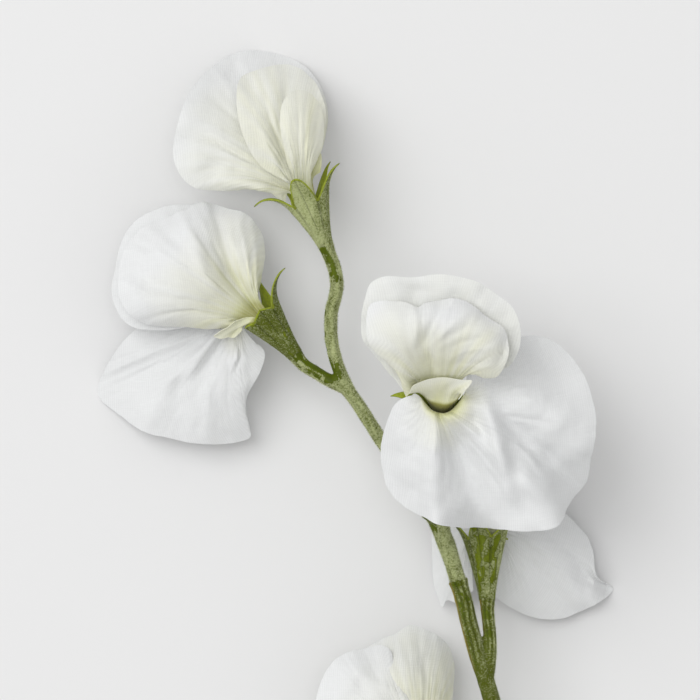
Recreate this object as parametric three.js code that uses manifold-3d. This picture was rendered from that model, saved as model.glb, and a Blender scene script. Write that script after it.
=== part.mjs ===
// A cut spray of sweet pea: five fabric blossoms on one flocked stem, lying on a flat surface.
// Millimetres, +Z up from the surface, +Y along the stem towards the top blossom.
// Every petal is one closed sheet, every calyx one moulded cup with five pointed sepals,
// and the stem is two plug-together lengths that carry the five flower stalks.
import * as THREE from "three";
import { mergeVertices } from "three/addons/utils/BufferGeometryUtils.js";
import Module from "manifold-3d";

// Driving dimensions.
const PETAL_THICKNESS = 0.4;
const PETAL_ROWS = 6; // steps from the claw to the rim
const CLAW_HALF_WIDTH = 1.5; // petals are held in the cup by a narrow claw
const CLAW_DEPTH = 4.0; // how far the claws reach down inside the cup
const LAYER_SPREAD = 1.6; // the claws part as they leave the cup
const SHOULDER = 0.65; // a petal is fullest this far from the cup to the rim
const FILM_FIRST_ROW = 3; // rows from here to the rim settle like a film
const FILM_PULL = 0.6; // the film's pull along the petal, against 1 across it
const FILM_PASSES = 80;

const CUP_SEAM_RADIUS = 2.0;
const CUP_MOUTH_RADIUS = 5.1;
const CUP_WALL = 0.7;
const CUP_FLOOR = 4.0; // solid plastic above the seam
const CUP_FLARE = 1.3; // power that the cup's radius grows by; 1 would be a straight cone
const LEAST_BORE = 1.0; // inner radius of the wall where the cup narrows to its seam
const FLOOR_STEP = 0.05; // keeps the inner rings apart where they meet the floor
const SEPALS = 5;
const SEPAL_ROOT = 0.6; // height of the wall between two sepals, past the mouth
const SEPAL_POINT = 1.2; // power that a sepal narrows by; 1 would be a straight-sided point
const SEPAL_TIP_WALL = 0.6; // share of the wall that is left at a sepal's tip
const SHORT_SEPAL = 3.0; // a sepal's edge shorter than this curls less
const COLUMNS_PER_SEPAL = 4;
const CUP_ROWS = 4;
const SEPAL_ROWS = 4;

const STALK_RADIUS = 1.6; // flower stalks
const UPPER_STEM_RADIUS = 1.9;
const LOWER_STEM_RADIUS = 2.1;
const COLLAR_RADIUS = 2.5;
const COLLAR_LENGTH = 2.0;
const STEM_SIDES = 10;
const STEM_STEP = 7; // length of one step of a sweep
const STALK_END = 3.0; // length of stalk that runs square to its calyx
const GAP = 0.3; // between pieces that meet

// Blossoms. heart: where the petals part, in the part's frame. seam and mouth: centres of the
// calyx cup's two ends, from the heart. sepals: [length, outward curl in degrees], the first one
// at sepalTurn degrees round the cup, counted from its right-hand side towards the upper side.
// Each petal: layer, its claw's place across the cup; lip, [rise, shift, half width, sag] of the
// sheet where it leaves the cup; bow, how far it bulges, from its first edge to its last; rim,
// its free edge from the heart; folds, [place along the rim, width, height] of its pleats.
const BLOSSOMS = [
  {
    name: "top",
    heart: [-12.5, 102, 22],
    seam: [5.1, -13.25, 0],
    mouth: [1.3, -3.4, 0],
    sepalTurn: 28,
    sepals: [[9.5, 60], [7.2, 12], [10, 98], [8, 75], [10.5, 48]],
    petals: [
      {
        name: "banner",
        layer: -2.1,
        lip: [6.2, -0.5, 3, 0],
        bow: [1, 5, 7, 5, 0],
        rim: [
          [-4.8, -3.2, -3.2], [-7.4, -1.4, -3.2], [-10.75, 0.8, -3], [-16.25, 0.25, -3],
          [-23.25, 0, -3], [-29.25, 2, -2], [-32.5, 8, -2], [-31.75, 15.5, -3], [-28.75, 24.25, -8],
          [-22.5, 31.5, -15], [-15, 35.25, -20], [-7.5, 34.75, -21.7], [-1.25, 32.25, -20],
          [3.75, 26.5, -16], [5.75, 19.25, -11], [4.75, 11.75, -7], [2.75, 6.5, -4.5],
        ],
        folds: [[0.3, 0.06, -1.5]],
      },
      {
        name: "wings",
        layer: -1.05,
        lip: [6.2, -0.5, 3, 0],
        bow: [1, 8, 10, 7, 1],
        rim: [
          [-3.25, 1.75, 0], [-10.75, 6, 2], [-15, 13, 2], [-16.75, 20.5, 0], [-16.25, 27.5, -4],
          [-12.25, 30, -7], [-6.75, 31.5, -10], [-1.25, 30.75, -12], [2.75, 27, -11],
          [5, 21, -6.5], [5.25, 15.5, -3.5], [4, 10, -1.8], [2, 5, -1],
        ],
        folds: [[0.55, 0.06, -2]],
      },
      {
        name: "tongue",
        layer: 0,
        lip: [6.1, 1.2, 1.2, 0],
        bow: [0, 0.3, 0],
        rim: [
          [1.5, 4, 0.8], [1.75, 6, 0.9], [2.75, 8.5, 1], [4, 9.25, 1], [4.25, 7, 0.9],
          [3.9, 4.5, 0.8],
        ],
        folds: [],
      },
      {
        name: "keel",
        layer: 1.1,
        lip: [6.2, -0.3, 2.6, 0],
        bow: [2, 9, 12, 9, 2],
        rim: [
          [-1.75, 2.5, 3], [-4, 6.75, 5], [-5.5, 13, 7], [-6, 18.5, 7], [-4.75, 22.75, 5],
          [-1.25, 25, 2], [2.5, 23, 0.5], [4.5, 18.5, 1], [4.75, 13, 2], [3.25, 8, 2.8],
          [1.5, 4, 2.8],
        ],
        folds: [],
      },
    ],
  },
  {
    name: "left",
    heart: [-27.5, 69, 20],
    seam: [12.75, -7.75, 0],
    mouth: [4.9, 1.7, 0],
    sepalTurn: 15,
    sepals: [[9.5, 78], [1.6, 20], [0.6, 10], [2, 40], [9.5, 20]],
    petals: [
      {
        name: "banner",
        layer: -2.1,
        lip: [8.4, -2, 2.6, 0],
        bow: [1, 4, 8, 6, 1],
        rim: [
          [1.5, -3.5, -4.5], [5, -7, -6], [3.75, -12, -7], [0.75, -17.75, -9], [0.5, -22.75, -11],
          [1.5, -28.25, -13], [-3.75, -29.75, -13], [-11.25, -29.75, -12], [-18.75, -28.5, -12],
          [-25, -27, -13], [-31.25, -22.75, -17], [-36.25, -18.5, -19.7], [-36.5, -14.5, -19.5],
          [-33.25, -8.5, -16], [-28.75, -2.75, -12], [-22, 2, -9], [-13, 5.5, -7],
        ],
        folds: [[0.5, 0.06, -2.5], [0.58, 0.05, 1.5]],
      },
      {
        name: "wings",
        layer: -1.05,
        lip: [5.5, -2, 3.4, 0],
        bow: [1, 11, 14, 9, 1],
        rim: [
          [-1.75, 1, -0.5], [-11.25, -0.25, -0.5], [-21.75, -1.5, -1], [-28.25, -0.5, -3],
          [-32, 4, -5], [-33, 9, -6], [-31.75, 15.5, -7], [-30, 21.5, -8], [-26.25, 26, -9],
          [-20, 29.25, -9], [-13.75, 29.5, -9], [-5, 27.25, -9], [1.25, 22.25, -8],
          [3.25, 14.75, -5], [2.75, 8, -2],
        ],
        folds: [[0.78, 0.1, -1.5]],
      },
      {
        name: "keel",
        layer: 0,
        lip: [5, -2.2, 3.8, 0],
        bow: [3, 16, 20, 12, 3],
        rim: [
          [-2.25, -0.9, 1], [-8.75, -1.2, 1.5], [-16.25, -0.6, 1.9], [-23.75, -0.2, 2],
          [-28.25, 2.25, 3], [-30.75, 6.5, 2], [-31, 12.25, 1], [-29.75, 18, 0], [-26.25, 23, -2],
          [-20.75, 25.75, -3], [-14.75, 28.25, -4], [-11.25, 30.25, -4.5], [-5, 29, -5],
          [0.75, 26.75, -5], [4.25, 22.25, -5], [5, 17.25, -3.5], [4.5, 12.25, -1.5], [3.5, 8, 0],
        ],
        folds: [[0.66, 0.08, -2]],
      },
      {
        name: "tongue",
        layer: 1.35,
        lip: [2.4, -3.4, 1.3, 1.4],
        bow: [0, 0.3, 0],
        rim: [
          [-0.6, -1.8, 1.8], [-2.4, -3.4, 0.6], [-4, -3.3, 0.7], [-5.6, -3.7, 0.3],
          [-7.6, -3.2, 0.5], [-6.2, -2.2, 2.2], [-4, -1, 3.3], [-2.2, 0.6, 3.8],
        ],
        folds: [],
      },
    ],
  },
  {
    name: "front",
    heart: [19.25, 50.5, 46],
    seam: [2.5, -9.5, -17],
    mouth: [2, -1.5, -6],
    sepalTurn: 36,
    sepals: [[2.1, 130], [2.1, 130], [9.5, 95], [4, 60], [4, 60]],
    petals: [
      {
        name: "wings",
        layer: -2.1,
        lip: [7, 0, 3.5, -0.5],
        bow: [2, 8, 10, 8, 2],
        rim: [
          [-7.25, 2, 0], [-11.75, 7.5, 2], [-15.5, 12, 4], [-17.5, 15, 5.5], [-17.75, 19.5, 6],
          [-16.75, 24.5, 6.5], [-15.5, 28.25, 7], [-11.75, 30, 8], [-5.5, 29.75, 8.5],
          [2, 30.5, 8.5], [9.5, 29, 8], [13.25, 27, 7.5], [17, 24.5, 7.5], [19.5, 22, 7.5],
          [21, 18.25, 7.5], [21.25, 14.5, 7], [20.25, 10.75, 6.5], [17.5, 7.5, 5.5], [10, 6.5, 4.6],
        ],
        folds: [],
      },
      {
        name: "keel",
        layer: -1.05,
        lip: [9.5, -0.6, 5.4, 1.8],
        bow: [4, 16, 22, 16, 4],
        rim: [
          [-6.6, 0.6, 3], [-8.5, 5.25, 6], [-11.75, 9, 9], [-15, 12.5, 10], [-16.5, 16, 11],
          [-15.5, 23.25, 10], [-8, 23.75, 10.4], [-4.25, 22.25, 10], [-1.75, 23.5, 10],
          [3.25, 24.5, 11], [7, 24.25, 11], [10.75, 22, 11], [14.5, 19, 11], [17, 17, 11],
          [18.25, 13.25, 11], [18, 10, 11], [15.75, 5.75, 9], [12.5, 5.25, 7.5], [10, 6.4, 6.6],
        ],
        folds: [[0.4, 0.06, -1.2]],
      },
      {
        name: "tongue",
        layer: 0,
        lip: [6.5, 0.6, 5.4, 4.5],
        bow: [0, -1, 0],
        rim: [
          [-5.9, 1.3, 4.3], [-5, 3.3, 4.9], [-1.2, 4.9, 4.9], [3, 5.3, 5], [6.6, 4.7, 5.3],
          [9.3, 4.6, 6.2], [8.8, 3.2, 5.8], [7.6, 1.8, 5.3], [6.2, -0.2, 4.5],
        ],
        folds: [],
      },
      {
        name: "banner",
        layer: 1.1,
        lip: [8, 0.6, 6.2, 4.5],
        bow: [1, 7, 9, 7, 1],
        rim: [
          [-5.5, 1.2, 0.5], [-9.25, -1.2, -2], [-11.75, -6.75, -5], [-13, -13.5, -8.5],
          [-11.75, -20.5, -10.5], [-8.75, -25, -11], [-3, -28.75, -9.5], [1.5, -31, -7],
          [9.5, -31.75, -13], [17.5, -32.25, -6.5], [25.75, -32.5, -6.5], [30.75, -31, -9.5],
          [34, -25.5, -14.5], [37.75, -20.5, -14.5], [39, -14.25, -11], [40, -6.75, -8.5],
          [39, 0.75, -8], [35.75, 8.25, -10.5], [30.25, 13.75, -13.5], [24.5, 15.5, -13.5],
          [18.25, 14, -8], [12.5, 9.5, -1.5], [8, 6, 1.4],
        ],
        folds: [[0.36, 0.05, -2.5], [0.52, 0.04, 1.5]],
      },
    ],
  },
  {
    name: "rear",
    heart: [32.5, 13.75, 12],
    seam: [0.25, -13.25, 8],
    mouth: [-0.25, 1, 4],
    sepalTurn: 36,
    sepals: [[6.5, 95], [7, 20], [8, 45], [2.5, 100], [2.5, 100]],
    petals: [
      {
        name: "banner",
        layer: -2.1,
        lip: [8, 0, 4, 0],
        bow: [1, 3, 5, 4, 1],
        rim: [
          [-3, -11, -5], [-6.5, -14.25, -6], [-9.5, -13.75, -7], [-10.75, -15.5, -8],
          [-12, -13, -8], [-13, -8.75, -9], [-13.25, -2.5, -9], [-13.25, 3.75, -9], [-11, 10, -8],
          [-6, 15.5, -7], [0, 17.5, -7], [6, 16.5, -7], [13, 13, -7], [18.75, 8.5, -7.5],
          [22.5, 5.5, -7.5], [25.5, 2, -7.5], [27, -2.5, -7], [27.8, -7.5, -6], [32, -11, -11.7],
          [28, -14.5, -7.2], [23.75, -16.5, -8.5], [18.75, -18.25, -8], [13.75, -18.25, -7.5],
          [8.75, -16.75, -7], [5, -14.5, -6], [1.5, -12, -5],
        ],
        folds: [],
      },
      {
        name: "wings",
        layer: -1.05,
        lip: [5, 1, 3, 0],
        bow: [1, 5, 8, 5, 1],
        rim: [
          [-3, 7, 3], [-6, 12, 1], [-7, 18, 0], [-6, 23, 0], [-2, 26, 1], [4, 27, 2], [10, 25, 2],
          [14, 20, 2], [15, 14, 1], [12, 9, 1], [5, 7, 2.5],
        ],
        folds: [[0.5, 0.08, -1.5]],
      },
      {
        name: "keel",
        layer: 0.5,
        lip: [5, 1, 2.6, 0],
        bow: [2, 6, 9, 6, 2],
        rim: [
          [-2, 8, 6], [-4.5, 12, 8], [-4, 17, 9], [0, 21, 9], [5, 22, 9], [10, 19, 9], [12, 14, 8],
          [9, 9, 7], [4, 8, 6],
        ],
        folds: [],
      },
    ],
  },
  {
    name: "low",
    heart: [18.25, -38.75, 18],
    seam: [6.5, -12, -1],
    mouth: [1, -1.5, 0],
    sepalTurn: 28,
    sepals: [[8, 60], [5.5, 20], [5, 60], [1, 120], [7, 60]],
    petals: [
      {
        name: "banner",
        layer: -2.1,
        lip: [7.5, -2, 2.6, 0],
        bow: [1, 4, 7, 5, 1],
        rim: [
          [-1.5, -6.5, -6.5], [1, -12, -8.5], [1, -20, -12], [-3, -27, -15], [-10, -31, -17],
          [-18, -31.5, -17.7], [-26, -28, -17], [-32, -21, -15], [-34, -12, -12], [-31, -4, -9],
          [-24, 1, -7], [-14, 3, -5], [-5, 2.5, -4.5],
        ],
        folds: [[0.45, 0.08, -2]],
      },
      {
        name: "wings",
        layer: -1.05,
        lip: [5, 0, 3, 0],
        bow: [1, 7, 10, 7, 1],
        rim: [
          [-3.5, 1.5, -1], [-12, 6, -1], [-20, 12, -2], [-23, 19, -4], [-18, 25, -6], [-12, 29, -7],
          [-8.25, 30.5, -7], [-4.25, 32.75, -8], [0.5, 31, -9], [3, 29.5, -9.5], [5.5, 26.25, -10],
          [6.5, 22.5, -10], [6.25, 18.75, -9], [6, 13.75, -6.5], [3.5, 6, -2.5],
        ],
        folds: [],
      },
      {
        name: "keel",
        layer: 0.5,
        lip: [5, -1, 3, 0],
        bow: [2, 11, 14, 10, 2],
        rim: [
          [-4, 2, 2.5], [-14, 2, 4], [-23, 5, 4], [-28, 10.5, 3], [-27.5, 16.25, 2],
          [-25.75, 20.75, 1], [-23.25, 24.25, 0], [-19.5, 26.25, -1], [-15.75, 27, -2],
          [-12, 28, -2], [-9.5, 26.5, -1], [-8.25, 23.75, 0], [-5.75, 20, 1], [-3.5, 13.75, 2],
          [-1, 6, 2.5],
        ],
        folds: [],
      },
    ],
  },
];

// Stem and stalk routes: [x, y, z] from the cut end upwards. A stalk ends at its calyx.
const LOWER_STEM_ROUTE = [
  [54.5, -137.5, 2.1], [52.5, -117.5, 2.5], [50, -100, 5], [47.5, -84, 8.5], [45, -70, 12],
  [41.5, -53, 16], [37.5, -37.5, 18.5], [33.8, -24, 20], [32, -18, 20.6], [29.8, -11, 21.2],
  [27, 0, 21.8], [25.5, 5.5, 22],
];
const UPPER_STEM_ROUTE = [
  [25.3, 6.1, 22], [22.4, 15, 22.5], [19.75, 20.5, 23], [15.75, 27, 23], [11.4, 33.5, 23],
  [6.75, 39.75, 23], [4, 44, 23], [1.25, 48.25, 23], [-2.5, 54, 23], [-5.25, 61.75, 22.8],
  [-6, 66.5, 22.6], [-5.85, 72, 22.4], [-5.1, 75, 22.2], [-4.5, 78.5, 22], [-5.1, 82.75, 22],
];
const STALK_ROUTES = {
  left: [[-3, 53.3, 23], [-6.6, 55.1, 22.4], [-9.8, 57, 21.2]],
  front: [[23, 12, 22.7], [22, 17.5, 24.5], [21.5, 22.5, 26], [21.5, 29, 26.3], [21.8, 35, 26.3]],
  rear: [[32.4, -21.5, 20.2], [33.1, -17, 20.6], [33.5, -12, 21], [33.3, -7, 21], [33, -4, 20.9]],
  low: [[45.5, -70, 11.8], [40, -62, 15], [34, -57.5, 17], [29.5, -54.2, 17.2]],
};
const SPUR = { route: [[20.5, 19.8, 23.5], [16.4, 21.6, 25.5]], rootRadius: 1.5, tipRadius: 0.3 };

const PETAL_COLOUR = 0xe2e3df;
const THROAT_COLOUR = 0xcdd2a6;
const CALYX_COLOUR = 0x7f8a4e;
const STEM_COLOUR = 0x8f9c6c;

const wasm = await Module();
wasm.setup();

const vector = (p) => new THREE.Vector3(...p);

// The calyx cup's own directions: along its axis, to its right-hand side and to its upper side.
function cupFrame(blossom) {
  const mouth = vector(blossom.mouth);
  const seam = vector(blossom.seam);
  const axis = mouth.clone().sub(seam).normalize();
  const right = axis.clone().cross(vector([0, 0, 1])).normalize();
  const upper = right.clone().cross(axis);
  return { mouth, seam, axis, right, upper, length: mouth.distanceTo(seam) };
}

function place(frame, along, across, up) {
  return frame.mouth
    .clone()
    .addScaledVector(frame.axis, along)
    .addScaledVector(frame.right, across)
    .addScaledVector(frame.upper, up);
}

// A value from a short list spread evenly over 0 to 1, joined by straight lines.
function listValue(list, t) {
  const at = t * (list.length - 1);
  const first = Math.min(Math.floor(at), list.length - 2);
  return THREE.MathUtils.lerp(list[first], list[first + 1], at - first);
}

// A petal's middle surface before it bulges: u runs from the claw to the rim, t along the rim.
function petalPoint(frame, petal, rim, u, t) {
  const side = 2 * t - 1;
  const [rise, shift, half, sag] = petal.lip;
  const claw = place(frame, -CLAW_DEPTH, CLAW_HALF_WIDTH * side, petal.layer);
  const lipUp = petal.layer * LAYER_SPREAD + sag * (1 - side * side);
  const lip = place(frame, rise, shift + half * side, lipUp);
  const edge = rim.getPoint(t);
  const shoulder = lip.clone().lerp(edge, SHOULDER);
  const v = 1 - u;
  const point = claw.multiplyScalar(v ** 4);
  point.addScaledVector(lip, 4 * u * v ** 3 + 6 * u ** 2 * v ** 2);
  point.addScaledVector(shoulder, 4 * u ** 3 * v);
  return point.addScaledVector(edge, u ** 4);
}

// How far the bulge and the pleats lift a petal at one place.
function petalLift(petal, u, t) {
  let lift = listValue(petal.bow, t) * 4 * u ** 3 * (1 - u);
  for (const [at, width, height] of petal.folds) {
    lift += height * Math.exp(-(((t - at) / width) ** 2)) * Math.sin(Math.PI * u) ** 2;
  }
  return lift;
}

// Lets the part of a petal beyond the cup settle like a film held at its edges, so that its rows
// and columns spread evenly and none crosses another.
function settle(grid, columns) {
  const at = (row, column) => grid[row * (columns + 1) + column];
  for (let pass = 0; pass < FILM_PASSES; pass++) {
    for (let row = FILM_FIRST_ROW; row < PETAL_ROWS; row++) {
      for (let column = 1; column < columns; column++) {
        const along = at(row - 1, column).clone().add(at(row + 1, column));
        const across = at(row, column - 1).clone().add(at(row, column + 1));
        const total = along.multiplyScalar(FILM_PULL).add(across);
        at(row, column).copy(total.divideScalar(2 * FILM_PULL + 2));
      }
    }
  }
}

// Triangles of a grid of points, row by row.
function gridFaces(rows, columns, start, flip) {
  const faces = [];
  for (let row = 0; row < rows; row++) {
    for (let column = 0; column < columns; column++) {
      const a = start + row * (columns + 1) + column;
      const b = a + 1;
      const c = a + columns + 1;
      const d = c + 1;
      faces.push(...(flip ? [a, c, b, b, c, d] : [a, b, c, b, d, c]));
    }
  }
  return faces;
}

// A closed geometry from points and faces, turned to face outwards.
function closedGeometry(points, faces) {
  let volume = 0;
  for (let i = 0; i < faces.length; i += 3) {
    const [a, b, c] = [points[faces[i]], points[faces[i + 1]], points[faces[i + 2]]];
    volume += a.dot(b.clone().cross(c));
  }
  if (volume < 0) faces.reverse();
  const geometry = new THREE.BufferGeometry();
  const positions = points.flatMap((p) => [...p]);
  geometry.setAttribute("position", new THREE.Float32BufferAttribute(positions, 3));
  geometry.setIndex(faces);
  geometry.computeVertexNormals();
  return geometry;
}

// A sheet of even thickness on both sides of a grid of points, closed round its edge.
function sheetGeometry(grid, rows, columns, thickness) {
  const at = (row, column) => {
    const r = THREE.MathUtils.clamp(row, 0, rows);
    const c = THREE.MathUtils.clamp(column, 0, columns);
    return grid[r * (columns + 1) + c];
  };
  const front = [];
  const back = [];
  for (let row = 0; row <= rows; row++) {
    for (let column = 0; column <= columns; column++) {
      const along = at(row + 1, column).clone().sub(at(row - 1, column));
      const across = at(row, column + 1).clone().sub(at(row, column - 1));
      const offset = along.cross(across).setLength(thickness / 2);
      front.push(at(row, column).clone().add(offset));
      back.push(at(row, column).clone().sub(offset));
    }
  }
  const size = front.length;
  const faces = [...gridFaces(rows, columns, 0, false), ...gridFaces(rows, columns, size, true)];
  const upTo = (count) => Array.from({ length: count }, (_, i) => i);
  const border = [
    ...upTo(columns),
    ...upTo(rows).map((r) => r * (columns + 1) + columns),
    ...upTo(columns).map((c) => rows * (columns + 1) + columns - c),
    ...upTo(rows).map((r) => (rows - r) * (columns + 1)),
  ];
  border.forEach((p, i) => {
    const q = border[(i + 1) % border.length];
    faces.push(p, p + size, q, q, p + size, q + size);
  });
  return closedGeometry([...front, ...back], faces);
}

function petalGeometry(blossom, petal) {
  const frame = cupFrame(blossom);
  const rim = new THREE.CatmullRomCurve3(petal.rim.map(vector), false, "catmullrom", 0.5);
  const columns = petal.rim.length - 1;
  const places = [];
  for (let row = 0; row <= PETAL_ROWS; row++) {
    for (let column = 0; column <= columns; column++) {
      places.push([row / PETAL_ROWS, column / columns]);
    }
  }
  const grid = places.map(([u, t]) => petalPoint(frame, petal, rim, u, t));
  settle(grid, columns);
  places.forEach(([u, t], i) => {
    grid[i].z += petalLift(petal, u, t);
  });
  return sheetGeometry(grid, PETAL_ROWS, columns, PETAL_THICKNESS);
}

// One column of the cup's outer wall, from the seam to the free edge of the sepal, as
// [radius, height above the seam, the wall's slope]. curl is how far the sepal turns outwards.
function cupProfile(length, sepalLength, curl) {
  const profile = [];
  const widen = CUP_MOUTH_RADIUS - CUP_SEAM_RADIUS;
  for (let row = 0; row <= CUP_ROWS; row++) {
    const s = row / CUP_ROWS;
    const slope = Math.atan((CUP_FLARE * widen * s ** (CUP_FLARE - 1)) / length);
    profile.push([CUP_SEAM_RADIUS + widen * s ** CUP_FLARE, length * s, slope]);
  }
  const step = sepalLength / SEPAL_ROWS;
  const turn = (curl / SEPAL_ROWS) * Math.min(1, sepalLength / SHORT_SEPAL);
  for (let row = 1; row <= SEPAL_ROWS; row++) {
    const [radius, height, slope] = profile.at(-1);
    const next = slope + turn;
    profile.push([radius + step * Math.sin(next), height + step * Math.cos(next), next]);
  }
  return profile;
}

// The cup's wall and sepals: a ring of points for each row, up the outside and down the inside.
function calyxGeometry(blossom) {
  const frame = cupFrame(blossom);
  const columns = SEPALS * COLUMNS_PER_SEPAL;
  const rows = CUP_ROWS + SEPAL_ROWS;
  const pointAt = (radius, height, angle) =>
    place(frame, height - frame.length, radius * Math.cos(angle), radius * Math.sin(angle));
  const walls = [];
  for (let column = 0; column < columns; column++) {
    const sepal = Math.round(column / COLUMNS_PER_SEPAL);
    const offCentre = Math.abs(column / COLUMNS_PER_SEPAL - sepal) * 2;
    const [length, curl] = blossom.sepals[sepal % SEPALS];
    const sepalLength = SEPAL_ROOT + length * (1 - offCentre) ** SEPAL_POINT;
    walls.push({
      angle: THREE.MathUtils.degToRad(blossom.sepalTurn + (360 * column) / columns),
      profile: cupProfile(frame.length, sepalLength, THREE.MathUtils.degToRad(curl)),
    });
  }
  const points = [];
  for (let row = 0; row <= rows; row++) {
    for (const { angle, profile } of walls) {
      const [radius, height] = profile[row];
      points.push(pointAt(radius, height, angle));
    }
  }
  for (let row = rows; row >= 0; row--) {
    const past = Math.max(0, row - CUP_ROWS) / SEPAL_ROWS;
    const wall = CUP_WALL * THREE.MathUtils.lerp(1, SEPAL_TIP_WALL, past);
    for (const { angle, profile } of walls) {
      const [radius, height, slope] = profile[row];
      const inner = Math.max(radius - wall * Math.cos(slope), LEAST_BORE);
      const floor = CUP_FLOOR + row * FLOOR_STEP;
      points.push(pointAt(inner, Math.max(height + wall * Math.sin(slope), floor), angle));
    }
  }
  const rings = 2 * (rows + 1);
  const faces = [];
  for (let ring = 0; ring < rings - 1; ring++) {
    for (let column = 0; column < columns; column++) {
      const next = (column + 1) % columns;
      const a = ring * columns + column;
      const b = ring * columns + next;
      faces.push(a, b, a + columns, b, b + columns, a + columns);
    }
  }
  const seamCentre = points.length;
  points.push(pointAt(0, 0, 0));
  const floorCentre = points.length;
  points.push(pointAt(0, CUP_FLOOR, 0));
  for (let column = 0; column < columns; column++) {
    const next = (column + 1) % columns;
    faces.push(seamCentre, next, column);
    faces.push(floorCentre, (rings - 1) * columns + column, (rings - 1) * columns + next);
  }
  return closedGeometry(points, faces);
}

// A round tapered sweep along a route, closed at both ends.
function sweepGeometry(route, startRadius, endRadius) {
  const path = new THREE.CatmullRomCurve3(route.map(vector), false, "centripetal");
  const steps = Math.max(3, Math.round(path.getLength() / STEM_STEP));
  const frames = path.computeFrenetFrames(steps, false);
  const points = [];
  for (let step = 0; step <= steps; step++) {
    const centre = path.getPointAt(step / steps);
    const radius = THREE.MathUtils.lerp(startRadius, endRadius, step / steps);
    for (let side = 0; side < STEM_SIDES; side++) {
      const angle = (2 * Math.PI * side) / STEM_SIDES;
      points.push(
        centre
          .clone()
          .addScaledVector(frames.normals[step], radius * Math.cos(angle))
          .addScaledVector(frames.binormals[step], radius * Math.sin(angle)),
      );
    }
  }
  const faces = [];
  for (let step = 0; step < steps; step++) {
    for (let side = 0; side < STEM_SIDES; side++) {
      const a = step * STEM_SIDES + side;
      const b = step * STEM_SIDES + ((side + 1) % STEM_SIDES);
      faces.push(a, b, a + STEM_SIDES, b, b + STEM_SIDES, a + STEM_SIDES);
    }
  }
  const last = steps * STEM_SIDES;
  for (let side = 1; side < STEM_SIDES - 1; side++) {
    faces.push(0, side + 1, side);
    faces.push(last, last + side, last + side + 1);
  }
  return closedGeometry(points, faces);
}

// A manifold-3d solid from a closed geometry.
function solid(geometry) {
  const plain = new THREE.BufferGeometry();
  plain.setAttribute("position", geometry.getAttribute("position"));
  plain.setIndex(geometry.index);
  const merged = mergeVertices(plain, 1e-4);
  const vertProperties = new Float32Array(merged.attributes.position.array);
  const triVerts = new Uint32Array(merged.index.array);
  return new wasm.Manifold(new wasm.Mesh({ numProp: 3, vertProperties, triVerts }));
}

function joinedGeometry(geometries) {
  const whole = geometries.map(solid).reduce((all, next) => all.add(next));
  const mesh = whole.getMesh();
  const geometry = new THREE.BufferGeometry();
  geometry.setAttribute("position", new THREE.BufferAttribute(mesh.vertProperties, 3));
  geometry.setIndex(new THREE.BufferAttribute(mesh.triVerts, 1));
  geometry.computeVertexNormals();
  return geometry;
}

// A stalk's route, finished square to its calyx and a gap short of the seam.
function toCalyx(route, blossom) {
  const frame = cupFrame(blossom);
  const heart = vector(blossom.heart);
  const shortOfSeam = (gap) => [...place(frame, -frame.length - gap, 0, 0).add(heart)];
  return [...route, shortOfSeam(STALK_END), shortOfSeam(GAP)];
}

function blossomNamed(name) {
  return BLOSSOMS.find((blossom) => blossom.name === name);
}

function stalk(name) {
  const route = toCalyx(STALK_ROUTES[name], blossomNamed(name));
  return sweepGeometry(route, STALK_RADIUS, STALK_RADIUS);
}

function upperStem() {
  const route = toCalyx(UPPER_STEM_ROUTE, blossomNamed("top"));
  const main = sweepGeometry(route, UPPER_STEM_RADIUS, STALK_RADIUS);
  const spur = sweepGeometry(SPUR.route, SPUR.rootRadius, SPUR.tipRadius);
  return joinedGeometry([main, stalk("left"), stalk("front"), spur]);
}

// The lower length flares into a collar, which the upper length plugs into.
function lowerStem() {
  const main = sweepGeometry(LOWER_STEM_ROUTE, LOWER_STEM_RADIUS, LOWER_STEM_RADIUS);
  const top = vector(LOWER_STEM_ROUTE.at(-1));
  const down = vector(LOWER_STEM_ROUTE.at(-2)).sub(top).setLength(COLLAR_LENGTH);
  const collarRoute = [[...top.clone().add(down)], [...top]];
  const collar = sweepGeometry(collarRoute, LOWER_STEM_RADIUS, COLLAR_RADIUS);
  return joinedGeometry([main, collar, stalk("rear"), stalk("low")]);
}

function material(colour) {
  return new THREE.MeshStandardMaterial({ color: colour, roughness: 0.85, metalness: 0 });
}

function named(name, geometry, colour) {
  const mesh = new THREE.Mesh(geometry, material(colour));
  mesh.name = name;
  return mesh;
}

const spray = new THREE.Group();
spray.add(named("stem_lower", lowerStem(), STEM_COLOUR));
spray.add(named("stem_upper", upperStem(), STEM_COLOUR));
for (const blossom of BLOSSOMS) {
  const group = new THREE.Group();
  group.position.set(...blossom.heart);
  group.add(named(`calyx_${blossom.name}`, calyxGeometry(blossom), CALYX_COLOUR));
  for (const petal of blossom.petals) {
    const colour = petal.name === "tongue" ? THROAT_COLOUR : PETAL_COLOUR;
    group.add(named(`${petal.name}_${blossom.name}`, petalGeometry(blossom, petal), colour));
  }
  spray.add(group);
}

export default spray;
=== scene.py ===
"""A cut spray of sweet pea made of fabric and flocked plastic, lying on a pale surface.

Shapes are worked out in millimetres, in the part's frame, and turned to metres as meshes are made.
Every blossom is a moulded calyx with sheets of woven fabric held in it; the stem is two lengths.
"""

import math

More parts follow.
